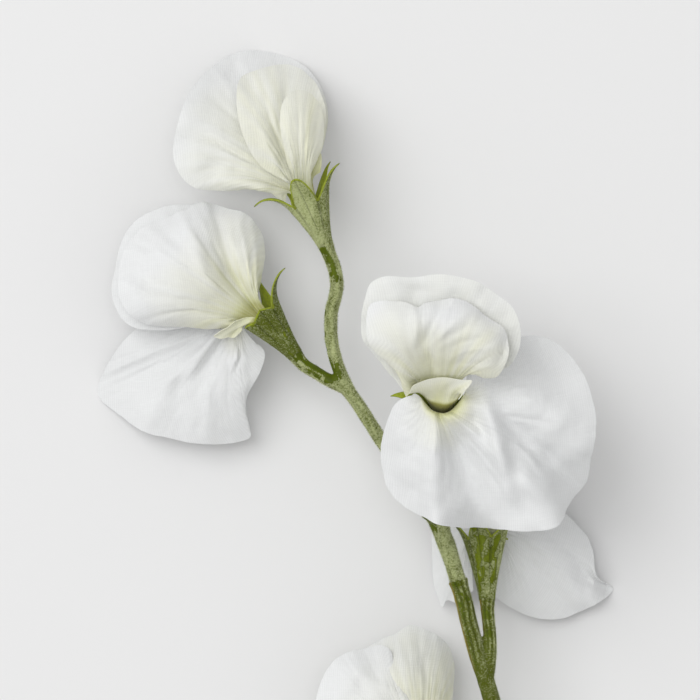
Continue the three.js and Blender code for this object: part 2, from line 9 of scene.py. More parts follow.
import bmesh
import bpy
import numpy as np
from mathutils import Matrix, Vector


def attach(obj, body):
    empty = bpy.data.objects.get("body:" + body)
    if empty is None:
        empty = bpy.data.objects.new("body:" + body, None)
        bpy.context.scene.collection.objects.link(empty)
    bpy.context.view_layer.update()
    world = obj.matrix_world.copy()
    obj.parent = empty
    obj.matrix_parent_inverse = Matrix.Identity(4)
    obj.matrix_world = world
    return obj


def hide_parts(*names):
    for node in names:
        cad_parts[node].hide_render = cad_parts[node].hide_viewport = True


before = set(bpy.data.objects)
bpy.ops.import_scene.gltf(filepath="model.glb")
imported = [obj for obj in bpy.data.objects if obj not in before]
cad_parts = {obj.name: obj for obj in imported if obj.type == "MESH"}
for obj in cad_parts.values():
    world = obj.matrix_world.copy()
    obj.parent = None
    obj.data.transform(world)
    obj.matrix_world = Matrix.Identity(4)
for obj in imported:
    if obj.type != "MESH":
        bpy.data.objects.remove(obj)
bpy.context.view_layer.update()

MM = 0.001
FLOOR_CLEARANCE = 0.12

# Petal sheets.
FABRIC_THICKNESS = 0.17
ROW_STEP = 0.65  # size of a petal's faces from claw to rim
COLUMN_STEP = 0.8  # and along the rim
CLAW_HALF_WIDTH = 1.5
CLAW_DEPTH = 4.0  # how far down a petal's claw sits in its cup
LAYER_SPREAD = 1.6  # how many times further apart the layers are as they leave the cup
SHOULDER = 0.65  # share of the way from lip to rim where a petal starts to bend to its rim
FILM_ROWS = 12
FILM_FIRST_ROW = 5  # the first row that is free to settle
FILM_PULL = 0.15  # pull from claw to rim, against 1 from side to side
FILM_PASSES = 600

# Calyces.
SEPALS = 5
CUP_SEAM_RADIUS = 2.0
CUP_MOUTH_RADIUS = 5.1
CUP_FLARE = 1.3  # the power that a cup widens by from seam to mouth
CUP_WALL = 0.7
CUP_FLOOR = 4.0  # height of the solid base of a cup

# Stems.
STALK_RADIUS = 1.6
LOWER_STEM_RADIUS = 2.1
COLLAR_RADIUS = 2.5
STALK_END = 3.0  # length of stalk that runs square to its calyx
STALK_ENTRY = 0.5  # how far a stalk's flared end goes into its calyx
MELT_SIZE = 0.3  # grain of the mesh that joins lengths of stem

# Each blossom's petals, in millimetres from its heart, where they part. layer: the claw's place
# across the cup. lip: the rise, shift, half width and sag of the sheet as it leaves the cup. bow:
# how far it bulges along its rim. dye and shade: how far the colour reaches from the claw, and its
# strength there; it is the petal's cream to yellow-green dye, with painted shade where it is strong.
# rim: its free edge. folds: the place along the rim, width and height of broad pleats.
# creases: lines seen from above, with their width, height and kind.
TOP_PETALS = dict(
    banner=dict(
        layer=-2.1, lip=(6.2, -0.5, 3, 0), bow=(1, 5, 7, 5, 0), dye_and_shade=(44, 0.62),
        rim=[
            (-4.8, -3.2, -3.2), (-7.4, -1.4, -3.2), (-10.75, 0.8, -3), (-16.25, 0.25, -3),
            (-23.25, 0, -3), (-29.25, 2, -2), (-32.5, 8, -2), (-31.75, 15.5, -3), (-28.75, 24.25, -8),
            (-22.5, 31.5, -15), (-15, 35.25, -20), (-7.5, 34.75, -21.7), (-1.25, 32.25, -20),
            (3.75, 26.5, -16), (5.75, 19.25, -11), (4.75, 11.75, -7), (2.75, 6.5, -4.5),
        ],
        folds=[(0.3, 0.06, -1.5)],
        creases=[
            ([(-10, 5.5), (-16, 8.5), (-21, 11.5), (-26, 13), (-31.5, 13)], 1.1, -0.9, "pleat"),
            ([(-14, 5), (-17.5, 6), (-22.5, 8), (-27.5, 11)], 0.9, -0.8, "crisp"),
            ([(-12, 6), (-17, 8), (-22, 10.5)], 0.7, 0.5, "crisp"),
            ([(-14, 9.5), (-19, 12), (-26, 16)], 1, 0.6, "crisp"),
            ([(-21, 3), (-26, 7)], 3, -0.9, "soft"),
            ([(-32, 17), (-29.5, 23.5), (-24, 30), (-18, 33.5)], 2.6, 1.1, "soft"),
            ([(-19, 27), (-16, 31.5)], 2, -0.6, "soft"),
            ([(-4, -1.5), (-12, 1.5), (-20, 2.5), (-27, 3)], 2, 0.7, "soft"),
        ],
    ),
    wings=dict(
        layer=-1.05, lip=(6.2, -0.5, 3, 0), bow=(1, 8, 10, 7, 1), dye_and_shade=(70, 0.5),
        rim=[
            (-3.25, 1.75, 0), (-10.75, 6, 2), (-15, 13, 2), (-16.75, 20.5, 0), (-16.25, 27.5, -4),
            (-12.25, 30, -7), (-6.75, 31.5, -10), (-1.25, 30.75, -12), (2.75, 27, -11), (5, 21, -6.5),
            (5.25, 15.5, -3.5), (4, 10, -1.8), (2, 5, -1),
        ],
        folds=[(0.55, 0.06, -2)],
        creases=[
            ([(-12.5, 22), (-13.5, 26), (-14.5, 30)], 1.5, -0.8, "soft"),
            ([(-5.5, 20), (-5, 25), (-5, 31)], 2.6, -1.1, "fan"),
            ([(-3.5, 4), (-6, 10.5), (-8.5, 18), (-10.5, 25.5)], 0.8, -0.7, "crisp"),
            ([(-3, 5), (-5, 11), (-7.5, 18), (-9, 25)], 0.9, 0.6, "crisp"),
            ([(-2.5, 3.5), (-4.5, 9), (-6.5, 15.5), (-7, 22)], 1.1, -1.1, "crisp"),
            ([(-5, 3.5), (-9, 11), (-12, 19)], 1, 0.45, "crisp"),
        ],
    ),
    tongue=dict(
        # Its strong olive colour is partly its dye and partly painted shade: the flap lies in shadow
        # between the keel and the sepals.
        layer=0, lip=(6.1, 1.2, 1.2, 0), bow=(0, 0.3, 0), dye_and_shade=(40, 1.3),
        rim=[
            (1.5, 4, 0.8), (1.75, 6, 0.9), (2.75, 8.5, 1), (4, 9.25, 1), (4.25, 7, 0.9),
            (3.9, 4.5, 0.8),
        ],
    ),
    keel=dict(
        layer=1.1, lip=(6.2, -0.3, 2.6, 0), bow=(2, 9, 12, 9, 2), dye_and_shade=(72, 0.55),
        rim=[
            (-1.75, 2.5, 3), (-4, 6.75, 5), (-5.5, 13, 7), (-6, 18.5, 7), (-4.75, 22.75, 5),
            (-1.25, 25, 2), (2.5, 23, 0.5), (4.5, 18.5, 1), (4.75, 13, 2), (3.25, 8, 2.8),
            (1.5, 4, 2.8),
        ],
        creases=[
            ([(-2, 5), (-4, 13), (-3.5, 21.5)], 0.8, 0.45, "crisp"),
            ([(-1, 5), (-1.5, 14), (-1, 23)], 0.7, -0.45, "crisp"),
            ([(0, 5), (1, 14), (1, 22.5)], 0.8, 0.45, "crisp"),
            ([(1, 5.5), (3, 14), (3.5, 20.5)], 0.7, -0.4, "crisp"),
        ],
    ),
)
LEFT_PETALS = dict(
    banner=dict(
        layer=-2.1, lip=(8.4, -2, 2.6, 0), bow=(1, 4, 8, 6, 1), dye_and_shade=(17, 0.9),
        rim=[
            (1.5, -3.5, -4.5), (5, -7, -6), (3.75, -12, -7), (0.75, -17.75, -9), (0.5, -22.75, -11),
            (1.5, -28.25, -13), (-3.75, -29.75, -13), (-11.25, -29.75, -12), (-18.75, -28.5, -12),
            (-25, -27, -13), (-31.25, -22.75, -17), (-36.25, -18.5, -19.7), (-36.5, -14.5, -19.5),
            (-33.25, -8.5, -16), (-28.75, -2.75, -12), (-22, 2, -9), (-13, 5.5, -7),
        ],
        folds=[(0.5, 0.06, -2.5), (0.58, 0.05, 1.5)],
        creases=[
            ([(-6, -3.5), (-14, -6.5), (-21, -9.5), (-31, -14)], 2.6, -1.1, "fan"),
            ([(-9, -2), (-20, -6), (-34, -12)], 1.1, 0.7, "pleat"),
            ([(-13, -5.5), (-22, -9.5), (-35, -15)], 0.7, 0.45, "pleat"),
            ([(-13, -8.5), (-21, -12), (-33, -18)], 0.8, -0.45, "pleat"),
            ([(-16, -12), (-24, -16.5)], 0.6, 0.35, "crisp"),
            ([(-15, -11), (-19, -14.5), (-22.5, -21), (-25.5, -27.5)], 2.2, 0.7, "fan"),
            ([(-13, -11), (-16, -15), (-16.5, -22), (-16.3, -29)], 2.8, -0.8, "fan"),
            ([(-9, -11), (-9.3, -20), (-9.3, -29)], 2, 0.6, "fan"),
            ([(-11.8, -8.5), (-14.3, -11.5)], 0.5, -0.25, "crisp"),
            ([(-3.2, -3.5), (-1.8, -7.5), (-2.8, -10.2), (-3.8, -14)], 0.6, 0.6, "crisp"),
            ([(-2.2, -4), (-0.9, -7.5), (-1.8, -10.5), (-2.8, -13)], 0.6, -0.45, "crisp"),
            ([(-2, -6), (0, -15), (-0.5, -26)], 3, 0.6, "soft"),
        ],
    ),
    wings=dict(
        layer=-1.05, lip=(5.5, -2, 3.4, 0), bow=(1, 11, 14, 9, 1),
        rim=[
            (-1.75, 1, -0.5), (-11.25, -0.25, -0.5), (-21.75, -1.5, -1), (-28.25, -0.5, -3),
            (-32, 4, -5), (-33, 9, -6), (-31.75, 15.5, -7), (-30, 21.5, -8), (-26.25, 26, -9),
            (-20, 29.25, -9), (-13.75, 29.5, -9), (-5, 27.25, -9), (1.25, 22.25, -8),
            (3.25, 14.75, -5), (2.75, 8, -2),
        ],
        folds=[(0.78, 0.1, -1.5)],
        creases=[([(-32, 13.5), (-31, 21), (-26, 25.5)], 2, 0.5, "soft")],
    ),
    keel=dict(
        # Its far-reaching colour is partly dye and partly painted shade inside the folds of the hood.
        layer=0, lip=(5, -2.2, 3.8, 0), bow=(3, 16, 20, 12, 3), dye_and_shade=(33, 0.88),
        rim=[
            (-2.25, -0.9, 1), (-8.75, -1.2, 1.5), (-16.25, -0.6, 1.9), (-23.75, -0.2, 2),
            (-28.25, 2.25, 3), (-30.75, 6.5, 2), (-31, 12.25, 1), (-29.75, 18, 0), (-26.25, 23, -2),
            (-20.75, 25.75, -3), (-14.75, 28.25, -4), (-11.25, 30.25, -4.5), (-5, 29, -5),
            (0.75, 26.75, -5), (4.25, 22.25, -5), (5, 17.25, -3.5), (4.5, 12.25, -1.5), (3.5, 8, 0),
        ],
        folds=[(0.66, 0.08, -2)],
        creases=[
            ([(-3, 3.5), (-9, 12), (-12.5, 21), (-15.5, 29)], 2.6, 1.3, "fan"),
            ([(-0.5, 4.5), (-3, 13.5), (-5.5, 22), (-7, 30)], 2.8, -1.3, "fan"),
            ([(1.2, 6), (-0.5, 12.5), (-3.2, 23)], 0.7, 0.6, "crisp"),
            ([(2.2, 6.5), (1.2, 13.5), (-1, 25.5)], 0.7, 0.5, "pleat"),
            ([(3, 8.5), (3, 16), (1.8, 25.5)], 0.7, 0.45, "pleat"),
            ([(-8, 19.5), (-11.2, 27.5)], 0.6, 0.4, "crisp"),
            ([(-2.5, 8), (-6, 16), (-9, 23)], 0.8, -0.4, "crisp"),
            ([(-6, 4), (-14, 8), (-22, 9.5), (-30, 9)], 2.6, 1, "soft"),
            ([(-5, 1.8), (-15, 2.8), (-26, 4)], 1.8, -0.3, "soft"),
            ([(-24, 8.5), (-31, 11)], 1, -0.5, "crisp"),
            ([(-8, 7), (-19, 10.5), (-27, 13.5)], 0.8, -0.4, "crisp"),
            ([(-10, 11), (-18, 16), (-25, 20)], 1, 0.4, "crisp"),
            ([(-24.5, 20.5), (-24, 17.5)], 1.5, -0.8, "soft"),
            ([(-26, 9), (-24, 7.5)], 2.2, -1.1, "soft"),
            ([(-29.5, 7), (-29.8, 13), (-28, 19)], 1.6, -0.9, "soft"),
            ([(-20, 23), (-15, 18)], 2, -0.6, "soft"),
        ],
    ),
    tongue=dict(
        layer=1.35, lip=(2.4, -3.4, 1.3, 1.4), bow=(0, 0.3, 0), dye_and_shade=(30, 1.0),
        rim=[
            (-0.6, -1.8, 1.8), (-2.4, -3.4, 0.6), (-4, -3.3, 0.7), (-5.6, -3.7, 0.3),
            (-7.6, -3.2, 0.5), (-6.2, -2.2, 2.2), (-4, -1, 3.3), (-2.2, 0.6, 3.8),
        ],
        creases=[
            ([(-1.5, -0.5), (-4, -2), (-6, -2.6)], 0.5, 0.5, "crisp"),
            ([(-1.5, -1.2), (-2.8, -2.6), (-3.6, -3.2)], 0.4, -0.5, "crisp"),
        ],
    ),
)
FRONT_PETALS = dict(
    wings=dict(
        layer=-2.1, lip=(7, 0, 3.5, -0.5), bow=(2, 8, 10, 8, 2), dye_and_shade=(60, 0.24),
        rim=[
            (-7.25, 2, 0), (-11.75, 7.5, 2), (-15.5, 12, 4), (-17.5, 15, 5.5), (-17.75, 19.5, 6),
            (-16.75, 24.5, 6.5), (-15.5, 28.25, 7), (-11.75, 30, 8), (-5.5, 29.75, 8.5),
            (2, 30.5, 8.5), (9.5, 29, 8), (13.25, 27, 7.5), (17, 24.5, 7.5), (19.5, 22, 7.5),
            (21, 18.25, 7.5), (21.25, 14.5, 7), (20.25, 10.75, 6.5), (17.5, 7.5, 5.5), (10, 6.5, 4.6),
        ],
        creases=[
            ([(-12, 28.5), (-5.5, 26.5), (2, 27)], 1.6, -0.5, "soft"),
            ([(9.5, 28.5), (17, 23), (19.5, 16)], 2.5, -0.7, "soft"),
            ([(-10, 24.5), (0, 23.5), (12, 23)], 4.5, -1.8, "soft"),
            ([(2.5, 29.8), (5, 28)], 0.5, -0.5, "crisp"),
        ],
    ),
    keel=dict(
        layer=-1.05, lip=(9.5, -0.6, 5.4, 1.8), bow=(4, 16, 22, 16, 4), dye_and_shade=(40, 1.1),
        rim=[
            (-6.6, 0.6, 3), (-8.5, 5.25, 6), (-11.75, 9, 9), (-15, 12.5, 10), (-16.5, 16, 11),
            (-15.5, 23.25, 10), (-8, 23.75, 10.4), (-4.25, 22.25, 10), (-1.75, 23.5, 10),
            (3.25, 24.5, 11), (7, 24.25, 11), (10.75, 22, 11), (14.5, 19, 11), (17, 17, 11),
            (18.25, 13.25, 11), (18, 10, 11), (15.75, 5.75, 9), (12.5, 5.25, 7.5), (10, 6.4, 6.6),
        ],
        folds=[(0.4, 0.06, -1.2)],
        creases=[
            ([(-4.6, 12), (-4.5, 17), (-4.4, 23)], 1.3, 1.1, "fan"),
            ([(-3.7, 12), (0.2, 18), (2.4, 24.5)], 2.2, -2.2, "fan"),
            ([(-2.7, 12.5), (1.9, 19), (4.6, 24.5)], 1, 1.5, "pleat"),
            ([(-2, 12), (4.5, 18), (10.5, 22.5)], 0.8, 0.5, "pleat"),
            ([(-1, 12.5), (5.75, 16.5), (13, 20)], 0.8, -0.6, "crisp"),
            ([(0, 11), (7, 14), (16, 16)], 0.9, -0.6, "crisp"),
            ([(2, 9.5), (9.5, 12), (16.5, 12.5)], 0.8, 0.45, "crisp"),
            ([(2, 8), (8, 9), (14, 8.5)], 0.7, -0.4, "crisp"),
            ([(-7, 7), (-10, 13), (-15, 17)], 1.2, -0.4, "soft"),
            ([(-6, 9), (-8.5, 16), (-10, 23)], 1.1, 0.4, "crisp"),
            ([(17.3, 17), (17, 12), (15, 6.5)], 0.9, -1.3, "crisp"),
            ([(-1, 5), (1, 6.8), (4, 7.8)], 0.5, 0.35, "crisp"),
        ],
    ),
    tongue=dict(
        # Its strong olive colour is partly dye and partly painted shade under the hood's arch.
        layer=0, lip=(6.5, 0.6, 5.4, 4.5), bow=(0, -1, 0), dye_and_shade=(24, 1.25),
        rim=[
            (-5.9, 1.3, 4.3), (-5, 3.3, 4.9), (-1.2, 4.9, 4.9), (3, 5.3, 5), (6.6, 4.7, 5.3),
            (9.3, 4.6, 6.2), (8.8, 3.2, 5.8), (7.6, 1.8, 5.3), (6.2, -0.2, 4.5),
        ],
        creases=[
            ([(5, -1.2), (6.5, 1.2), (8.6, 4)], 0.6, 0.7, "pleat"),
            ([(3.5, -0.5), (3.5, 2), (3.5, 5)], 1, -0.3, "soft"),
        ],
    ),
    banner=dict(
        layer=1.1, lip=(8, 0.6, 6.2, 4.5), bow=(1, 7, 9, 7, 1), dye_and_shade=(17, 0.9),
        rim=[
            (-5.5, 1.2, 0.5), (-9.25, -1.2, -2), (-11.75, -6.75, -5), (-13, -13.5, -8.5),
            (-11.75, -20.5, -10.5), (-8.75, -25, -11), (-3, -28.75, -9.5), (1.5, -31, -7),
            (9.5, -31.75, -13), (17.5, -32.25, -6.5), (25.75, -32.5, -6.5), (30.75, -31, -9.5),
            (34, -25.5, -14.5), (37.75, -20.5, -14.5), (39, -14.25, -11), (40, -6.75, -8.5),
            (39, 0.75, -8), (35.75, 8.25, -10.5), (30.25, 13.75, -13.5), (24.5, 15.5, -13.5),
            (18.25, 14, -8), (12.5, 9.5, -1.5), (8, 6, 1.4),
        ],
        folds=[(0.36, 0.05, -2.5), (0.52, 0.04, 1.5)],
        creases=[
            ([(2.2, -3.5), (0.2, -13), (-0.3, -23), (0.5, -31)], 4.2, 3.2, "fan"),
            ([(3.9, -3.5), (7, -11.75), (10, -20.5), (12.5, -31.5)], 5, -4.4, "fan"),
            ([(-10.5, -4), (-12.5, -13), (-11, -21), (-7.5, -27)], 3, -1.2, "soft"),
            ([(-5, -5), (-7.2, -14), (-5.5, -24)], 2.6, 0.5, "soft"),
            ([(10.5, 5), (13.5, -3.5), (15.6, -10.5), (17.2, -17), (19, -24), (20, -30)], 2, 3, "soft"),
            ([(7.75, -3), (11.5, -7.5), (14.2, -13.5)], 2.2, -1.5, "soft"),
            ([(15, -0.5), (20.5, -8), (27.5, -14.5), (34, -20), (38, -23)], 3.6, -3.4, "fan"),
            ([(19.5, -15.5), (23.5, -20.5), (28, -26), (30.5, -31.5)], 5, 3.4, "fan"),
            ([(18.5, -9.5), (24, -14.5), (28.75, -22.25)], 0.9, 1.3, "crisp"),
            ([(18.5, -6), (25.5, -12.5), (30.5, -20)], 0.9, 0.9, "crisp"),
            ([(17, 4), (26, -1.5), (38, -10)], 6, 3.2, "fan"),
            ([(21, 13), (28, 8), (35.5, 1)], 4, -1.8, "soft"),
            ([(16.5, -16), (19, -22), (23, -30)], 2.6, -0.5, "soft"),
        ],
    ),
)
REAR_PETALS = dict(
    banner=dict(
        layer=-2.1, lip=(8, 0, 4, 0), bow=(1, 3, 5, 4, 1), dye_and_shade=(12, 0.4),
        rim=[
            (-3, -11, -5), (-6.5, -14.25, -6), (-9.5, -13.75, -7), (-10.75, -15.5, -8), (-12, -13, -8),
            (-13, -8.75, -9), (-13.25, -2.5, -9), (-13.25, 3.75, -9), (-11, 10, -8), (-6, 15.5, -7),
            (0, 17.5, -7), (6, 16.5, -7), (13, 13, -7), (18.75, 8.5, -7.5), (22.5, 5.5, -7.5),
            (25.5, 2, -7.5), (27, -2.5, -7), (27.8, -7.5, -6), (32, -11, -11.7), (28, -14.5, -7.2),
            (23.75, -16.5, -8.5), (18.75, -18.25, -8), (13.75, -18.25, -7.5), (8.75, -16.75, -7),
            (5, -14.5, -6), (1.5, -12, -5),
        ],
        creases=[
            ([(8, 2), (12.5, 0.5), (18.75, -5), (23.75, -13.75)], 1.9, 0.6, "fan"),
            ([(9, 6), (15, 3.25), (22.5, -3.25), (26.5, -9)], 1.6, -0.8, "fan"),
            ([(10, 0), (15, -4), (20, -12)], 0.6, 0.25, "crisp"),
            ([(8, -2), (13, -6), (17, -13)], 0.6, -0.25, "crisp"),
            ([(6, -3), (10, -8), (12.5, -15)], 0.7, 0.25, "crisp"),
            ([(27, -4.5), (26.9, -10), (26.8, -15.5)], 1, 1.3, "crisp"),
            ([(29.4, -8), (29.8, -11), (29.2, -14)], 1.4, -1.6, "soft"),
        ],
    ),
    wings=dict(
        layer=-1.05, lip=(5, 1, 3, 0), bow=(1, 5, 8, 5, 1),
        rim=[
            (-3, 7, 3), (-6, 12, 1), (-7, 18, 0), (-6, 23, 0), (-2, 26, 1), (4, 27, 2), (10, 25, 2),
            (14, 20, 2), (15, 14, 1), (12, 9, 1), (5, 7, 2.5),
        ],
        folds=[(0.5, 0.08, -1.5)],
    ),
    keel=dict(
        layer=0.5, lip=(5, 1, 2.6, 0), bow=(2, 6, 9, 6, 2),
        rim=[
            (-2, 8, 6), (-4.5, 12, 8), (-4, 17, 9), (0, 21, 9), (5, 22, 9), (10, 19, 9), (12, 14, 8),
            (9, 9, 7), (4, 8, 6),
        ],
    ),
)
LOW_PETALS = dict(
    banner=dict(
        layer=-2.1, lip=(7.5, -2, 2.6, 0), bow=(1, 4, 7, 5, 1),
        rim=[
            (-1.5, -6.5, -6.5), (1, -12, -8.5), (1, -20, -12), (-3, -27, -15), (-10, -31, -17),
            (-18, -31.5, -17.7), (-26, -28, -17), (-32, -21, -15), (-34, -12, -12), (-31, -4, -9),
            (-24, 1, -7), (-14, 3, -5), (-5, 2.5, -4.5),
        ],
        folds=[(0.45, 0.08, -2)],
    ),
    wings=dict(
        # Its strong colour is partly dye and partly painted shade: this petal is turned away into
        # shade.
        layer=-1.05, lip=(5, 0, 3, 0), bow=(1, 7, 10, 7, 1), dye_and_shade=(40, 0.95),
        rim=[
            (-3.5, 1.5, -1), (-12, 6, -1), (-20, 12, -2), (-23, 19, -4), (-18, 25, -6), (-12, 29, -7),
            (-8.25, 30.5, -7), (-4.25, 32.75, -8), (0.5, 31, -9), (3, 29.5, -9.5), (5.5, 26.25, -10),
            (6.5, 22.5, -10), (6.25, 18.75, -9), (6, 13.75, -6.5), (3.5, 6, -2.5),
        ],
        creases=[
            ([(-9, 6), (-10, 18), (-8, 32)], 11, 5.5, "soft"),
            ([(0.5, 14), (-1, 22.5), (-4, 31)], 1.6, -0.4, "fan"),
            ([(4.5, 11), (4, 20), (2, 29)], 1.4, 0.3, "fan"),
        ],
    ),
    keel=dict(
        layer=0.5, lip=(5, -1, 3, 0), bow=(2, 11, 14, 10, 2), dye_and_shade=(34, 0.45),
        rim=[
            (-4, 2, 2.5), (-14, 2, 4), (-23, 5, 4), (-28, 10.5, 3), (-27.5, 16.25, 2),
            (-25.75, 20.75, 1), (-23.25, 24.25, 0), (-19.5, 26.25, -1), (-15.75, 27, -2),
            (-12, 28, -2), (-9.5, 26.5, -1), (-8.25, 23.75, 0), (-5.75, 20, 1), (-3.5, 13.75, 2),
            (-1, 6, 2.5),
        ],
        creases=[
            ([(-10, 24), (-16, 17), (-22, 12)], 1.6, -0.6, "soft"),
            ([(-14, 25), (-19.5, 19), (-24.5, 14)], 1.4, 0.5, "soft"),
            ([(-16, 17.5), (-18, 20)], 1.2, -0.7, "soft"),
            ([(-5, 14), (-11, 18), (-18, 20)], 0.9, 0.5, "crisp"),
        ],
    ),
)

# seam and mouth are the ends of the calyx cup. thin, thin_right and rubbed: how thin its flock is,
# how much thinner on its right, and how much has come off. sepals: length, outward curl in degrees
# and shape; the first is sepal_turn degrees round the cup from its right-hand side.
BLOSSOMS = [
    dict(
        name="top", heart=(-12.5, 102, 22), seam=(5.1, -13.25, 0), mouth=(1.3, -3.4, 0), sepal_turn=28,
        thin=0.22, thin_right=0.2, rubbed=-2,
        sepals=[
            (9.5, 60, "spike"), (7.2, 12, "tongue"), (10, 98, "spike"), (8, 75, "spike"),
            (10.5, 48, "spike"),
        ],
        petals=TOP_PETALS,
    ),
    dict(
        name="left", heart=(-27.5, 69, 20), seam=(12.75, -7.75, 0), mouth=(4.9, 1.7, 0), sepal_turn=15,
        thin=0.56, thin_right=0, rubbed=-0.3,
        sepals=[
            (9.5, 78, "blunt"), (1.6, 20, "leaf"), (0.6, 10, "leaf"), (2, 40, "spike"),
            (9.5, 20, "spike"),
        ],
        petals=LEFT_PETALS,
    ),
    dict(
        name="front", heart=(19.25, 50.5, 46), seam=(2.5, -9.5, -17), mouth=(2, -1.5, -6),
        sepal_turn=36, thin=0.2, thin_right=0, rubbed=0,
        sepals=[
            (2.1, 130, "spike"), (2.1, 130, "spike"), (9.5, 95, "leaf"), (4, 60, "spike"),
            (4, 60, "spike"),
        ],
        petals=FRONT_PETALS,
    ),
    dict(
        name="rear", heart=(32.5, 13.75, 12), seam=(0.25, -13.25, 8), mouth=(-0.25, 1, 4),
        sepal_turn=36, thin=0.4, thin_right=-0.12, rubbed=0.35,
        sepals=[
            (6.5, 95, "spike"), (7, 20, "leaf"), (8, 45, "leaf"), (2.5, 100, "spike"),
            (2.5, 100, "spike"),
        ],
        petals=REAR_PETALS,
    ),
    dict(
        name="low", heart=(18.25, -38.75, 18), seam=(6.5, -12, -1), mouth=(1, -1.5, 0), sepal_turn=28,
        thin=0.2, thin_right=0.1, rubbed=0,
        sepals=[
            (8, 60, "spike"), (5.5, 20, "tongue"), (5, 60, "spike"), (1, 120, "spike"),
            (7, 60, "spike"),
        ],
        petals=LOW_PETALS,
    ),
]

# Stem and stalk routes, from the cut end upwards. A stalk ends at its calyx.
LOWER_STEM_ROUTE = [
    (54.5, -137.5, 2.1), (52.5, -117.5, 2.5), (50, -100, 5), (47.5, -84, 8.5), (45, -70, 12),
    (41.5, -53, 16), (37.5, -37.5, 18.5), (33.8, -24, 20), (32, -18, 20.6), (29.8, -11, 21.2),
    (27, 0, 21.8), (25.5, 5.5, 22),
]
COLLAR_SEAT = (26.2, 3.2, 21.9)  # how far down the upper stem is plugged in
UPPER_STEM_ROUTE = [
    (25.3, 6.1, 22), (22.4, 15, 22.5), (19.75, 20.5, 23), (15.75, 27, 23), (11.4, 33.5, 23),
    (6.75, 39.75, 23), (4, 44, 23), (1.25, 48.25, 23), (-2.5, 54, 23), (-5.25, 61.75, 22.8),
    (-6, 66.5, 22.6), (-5.85, 72, 22.4), (-5.1, 75, 22.2), (-4.5, 78.5, 22), (-5.1, 82.75, 22),
]
STALK_ROUTES = {
    "left": [(-3, 53.3, 23), (-6.6, 55.1, 22.4), (-9.8, 57, 21.2)],
    "front": [(23, 12, 22.7), (22, 17.5, 24.5), (21.5, 22.5, 26), (21.5, 29, 26.3), (21.8, 35, 26.3)],
    "rear": [(32.4, -21.5, 20.2), (33.1, -17, 20.6), (33.5, -12, 21), (33.3, -7, 21), (33, -4, 20.9)],
    "low": [(45.5, -70, 11.8), (40, -62, 15), (34, -57.5, 17), (29.5, -54.2, 17.2)],
}
SPUR_ROUTE = [(20.5, 19.8, 23.5), (16.4, 21.6, 25.5)]


# Small tools for shapes.

def unit(vectors):
    length = np.linalg.norm(vectors, axis=-1, keepdims=True)
    return vectors / np.maximum(length, 1e-9)


def steps_along(line):
    """The distances between neighbouring points, or rows of points."""
    return np.linalg.norm(np.diff(line, axis=0), axis=-1)


def bell(distance, width, power=2):
    return np.exp(-((distance / width) ** power))


def smooth_step(value, start, end):
    share = np.clip((value - start) / (end - start), 0, 1)
    return share * share * (3 - 2 * share)


def through(points, places):
    """Points of the smooth line through a list of points, at places from 0 to 1, evenly by point."""
    points = np.asarray(points, float)
    first, last = 2 * points[:1] - points[1:2], 2 * points[-1:] - points[-2:-1]
    ends = np.concatenate([first, points, last])
    at = np.clip(np.asarray(places, float), 0, 1) * (len(points) - 1)
    first = np.minimum(at.astype(int), len(points) - 2)
    share = (at - first).reshape((-1,) + (1,) * (points.ndim - 1))
    a, b, c, d = (ends[first + k] for k in range(4))
    curve = (c - a) * share + (2 * a - 5 * b + 4 * c - d) * share ** 2
    return 0.5 * (2 * b + curve + (3 * b - a - 3 * c + d) * share ** 3)


def finer(grid, rows, columns):
    """A grid of points, laid out again with more rows and columns."""
    tall = through(grid, np.linspace(0, 1, rows + 1))
    return through(tall.swapaxes(0, 1), np.linspace(0, 1, columns + 1)).swapaxes(0, 1)


def soft_noise(places, scale, seed, waves=14):
    """Soft noise from about -1 to 1 at places in space, with lumps about scale across."""
    draw = np.random.default_rng(seed)
    directions = unit(draw.normal(size=(waves, places.shape[-1])))
    pitches = draw.uniform(0.6, 1.7, waves) * 2 * math.pi / (2 * scale)
    phases = draw.uniform(0, 2 * math.pi, waves)
    total = np.zeros(places.shape[:-1])
    for direction, pitch, phase in zip(directions, pitches, phases):
        total += np.sin(places @ direction * pitch + phase)
    return total / math.sqrt(waves)


def grid_faces(rows, columns):
    """Four-sided faces of a grid of (rows + 1) by (columns + 1) points."""
    first = (np.arange(rows)[:, None] * (columns + 1) + np.arange(columns)).ravel()
    return np.stack([first, first + 1, first + columns + 2, first + columns + 1], axis=1)


def ring_faces(rings, around):
    """Four-sided faces of a stack of closed rings of points."""
    ring = np.arange(rings - 1)[:, None] * around
    here = (ring + np.arange(around)).ravel()
    beside = (ring + (np.arange(around) + 1) % around).ravel()
    return np.stack([here, beside, beside + around, here + around], axis=1)


# Small tools for objects.

def linked(name, data):
    made = bpy.data.objects.new(name, data)
    bpy.context.scene.collection.objects.link(made)
    return made


def new_object(name, points, faces, material, smooth=True):
    """A mesh object from points in millimetres. Faces can mix three and four corners."""
    mesh = bpy.data.meshes.new(name)
    mesh.from_pydata((np.asarray(points).reshape(-1, 3) * MM).tolist(), [], [list(f) for f in faces])
    mesh.polygons.foreach_set("use_smooth", [smooth] * len(mesh.polygons))
    mesh.materials.append(material)
    return linked(name, mesh)


def store(made, name, values):
    attribute = made.data.attributes.new(name, "FLOAT", "POINT")
    attribute.data.foreach_set("value", np.asarray(values, np.float32).ravel())


def per_vertex(made, what):
    """Every vertex's place or normal."""
    values = np.zeros(len(made.data.vertices) * 3)
    made.data.vertices.foreach_get(what, values)
    return values.reshape(-1, 3)


def put_vertices(made, places):
    """Moves every vertex, none of them into the surface below."""
    places[:, 2] = np.maximum(places[:, 2], FLOOR_CLEARANCE * MM)
    made.data.vertices.foreach_set("co", places.ravel())
    made.data.update()


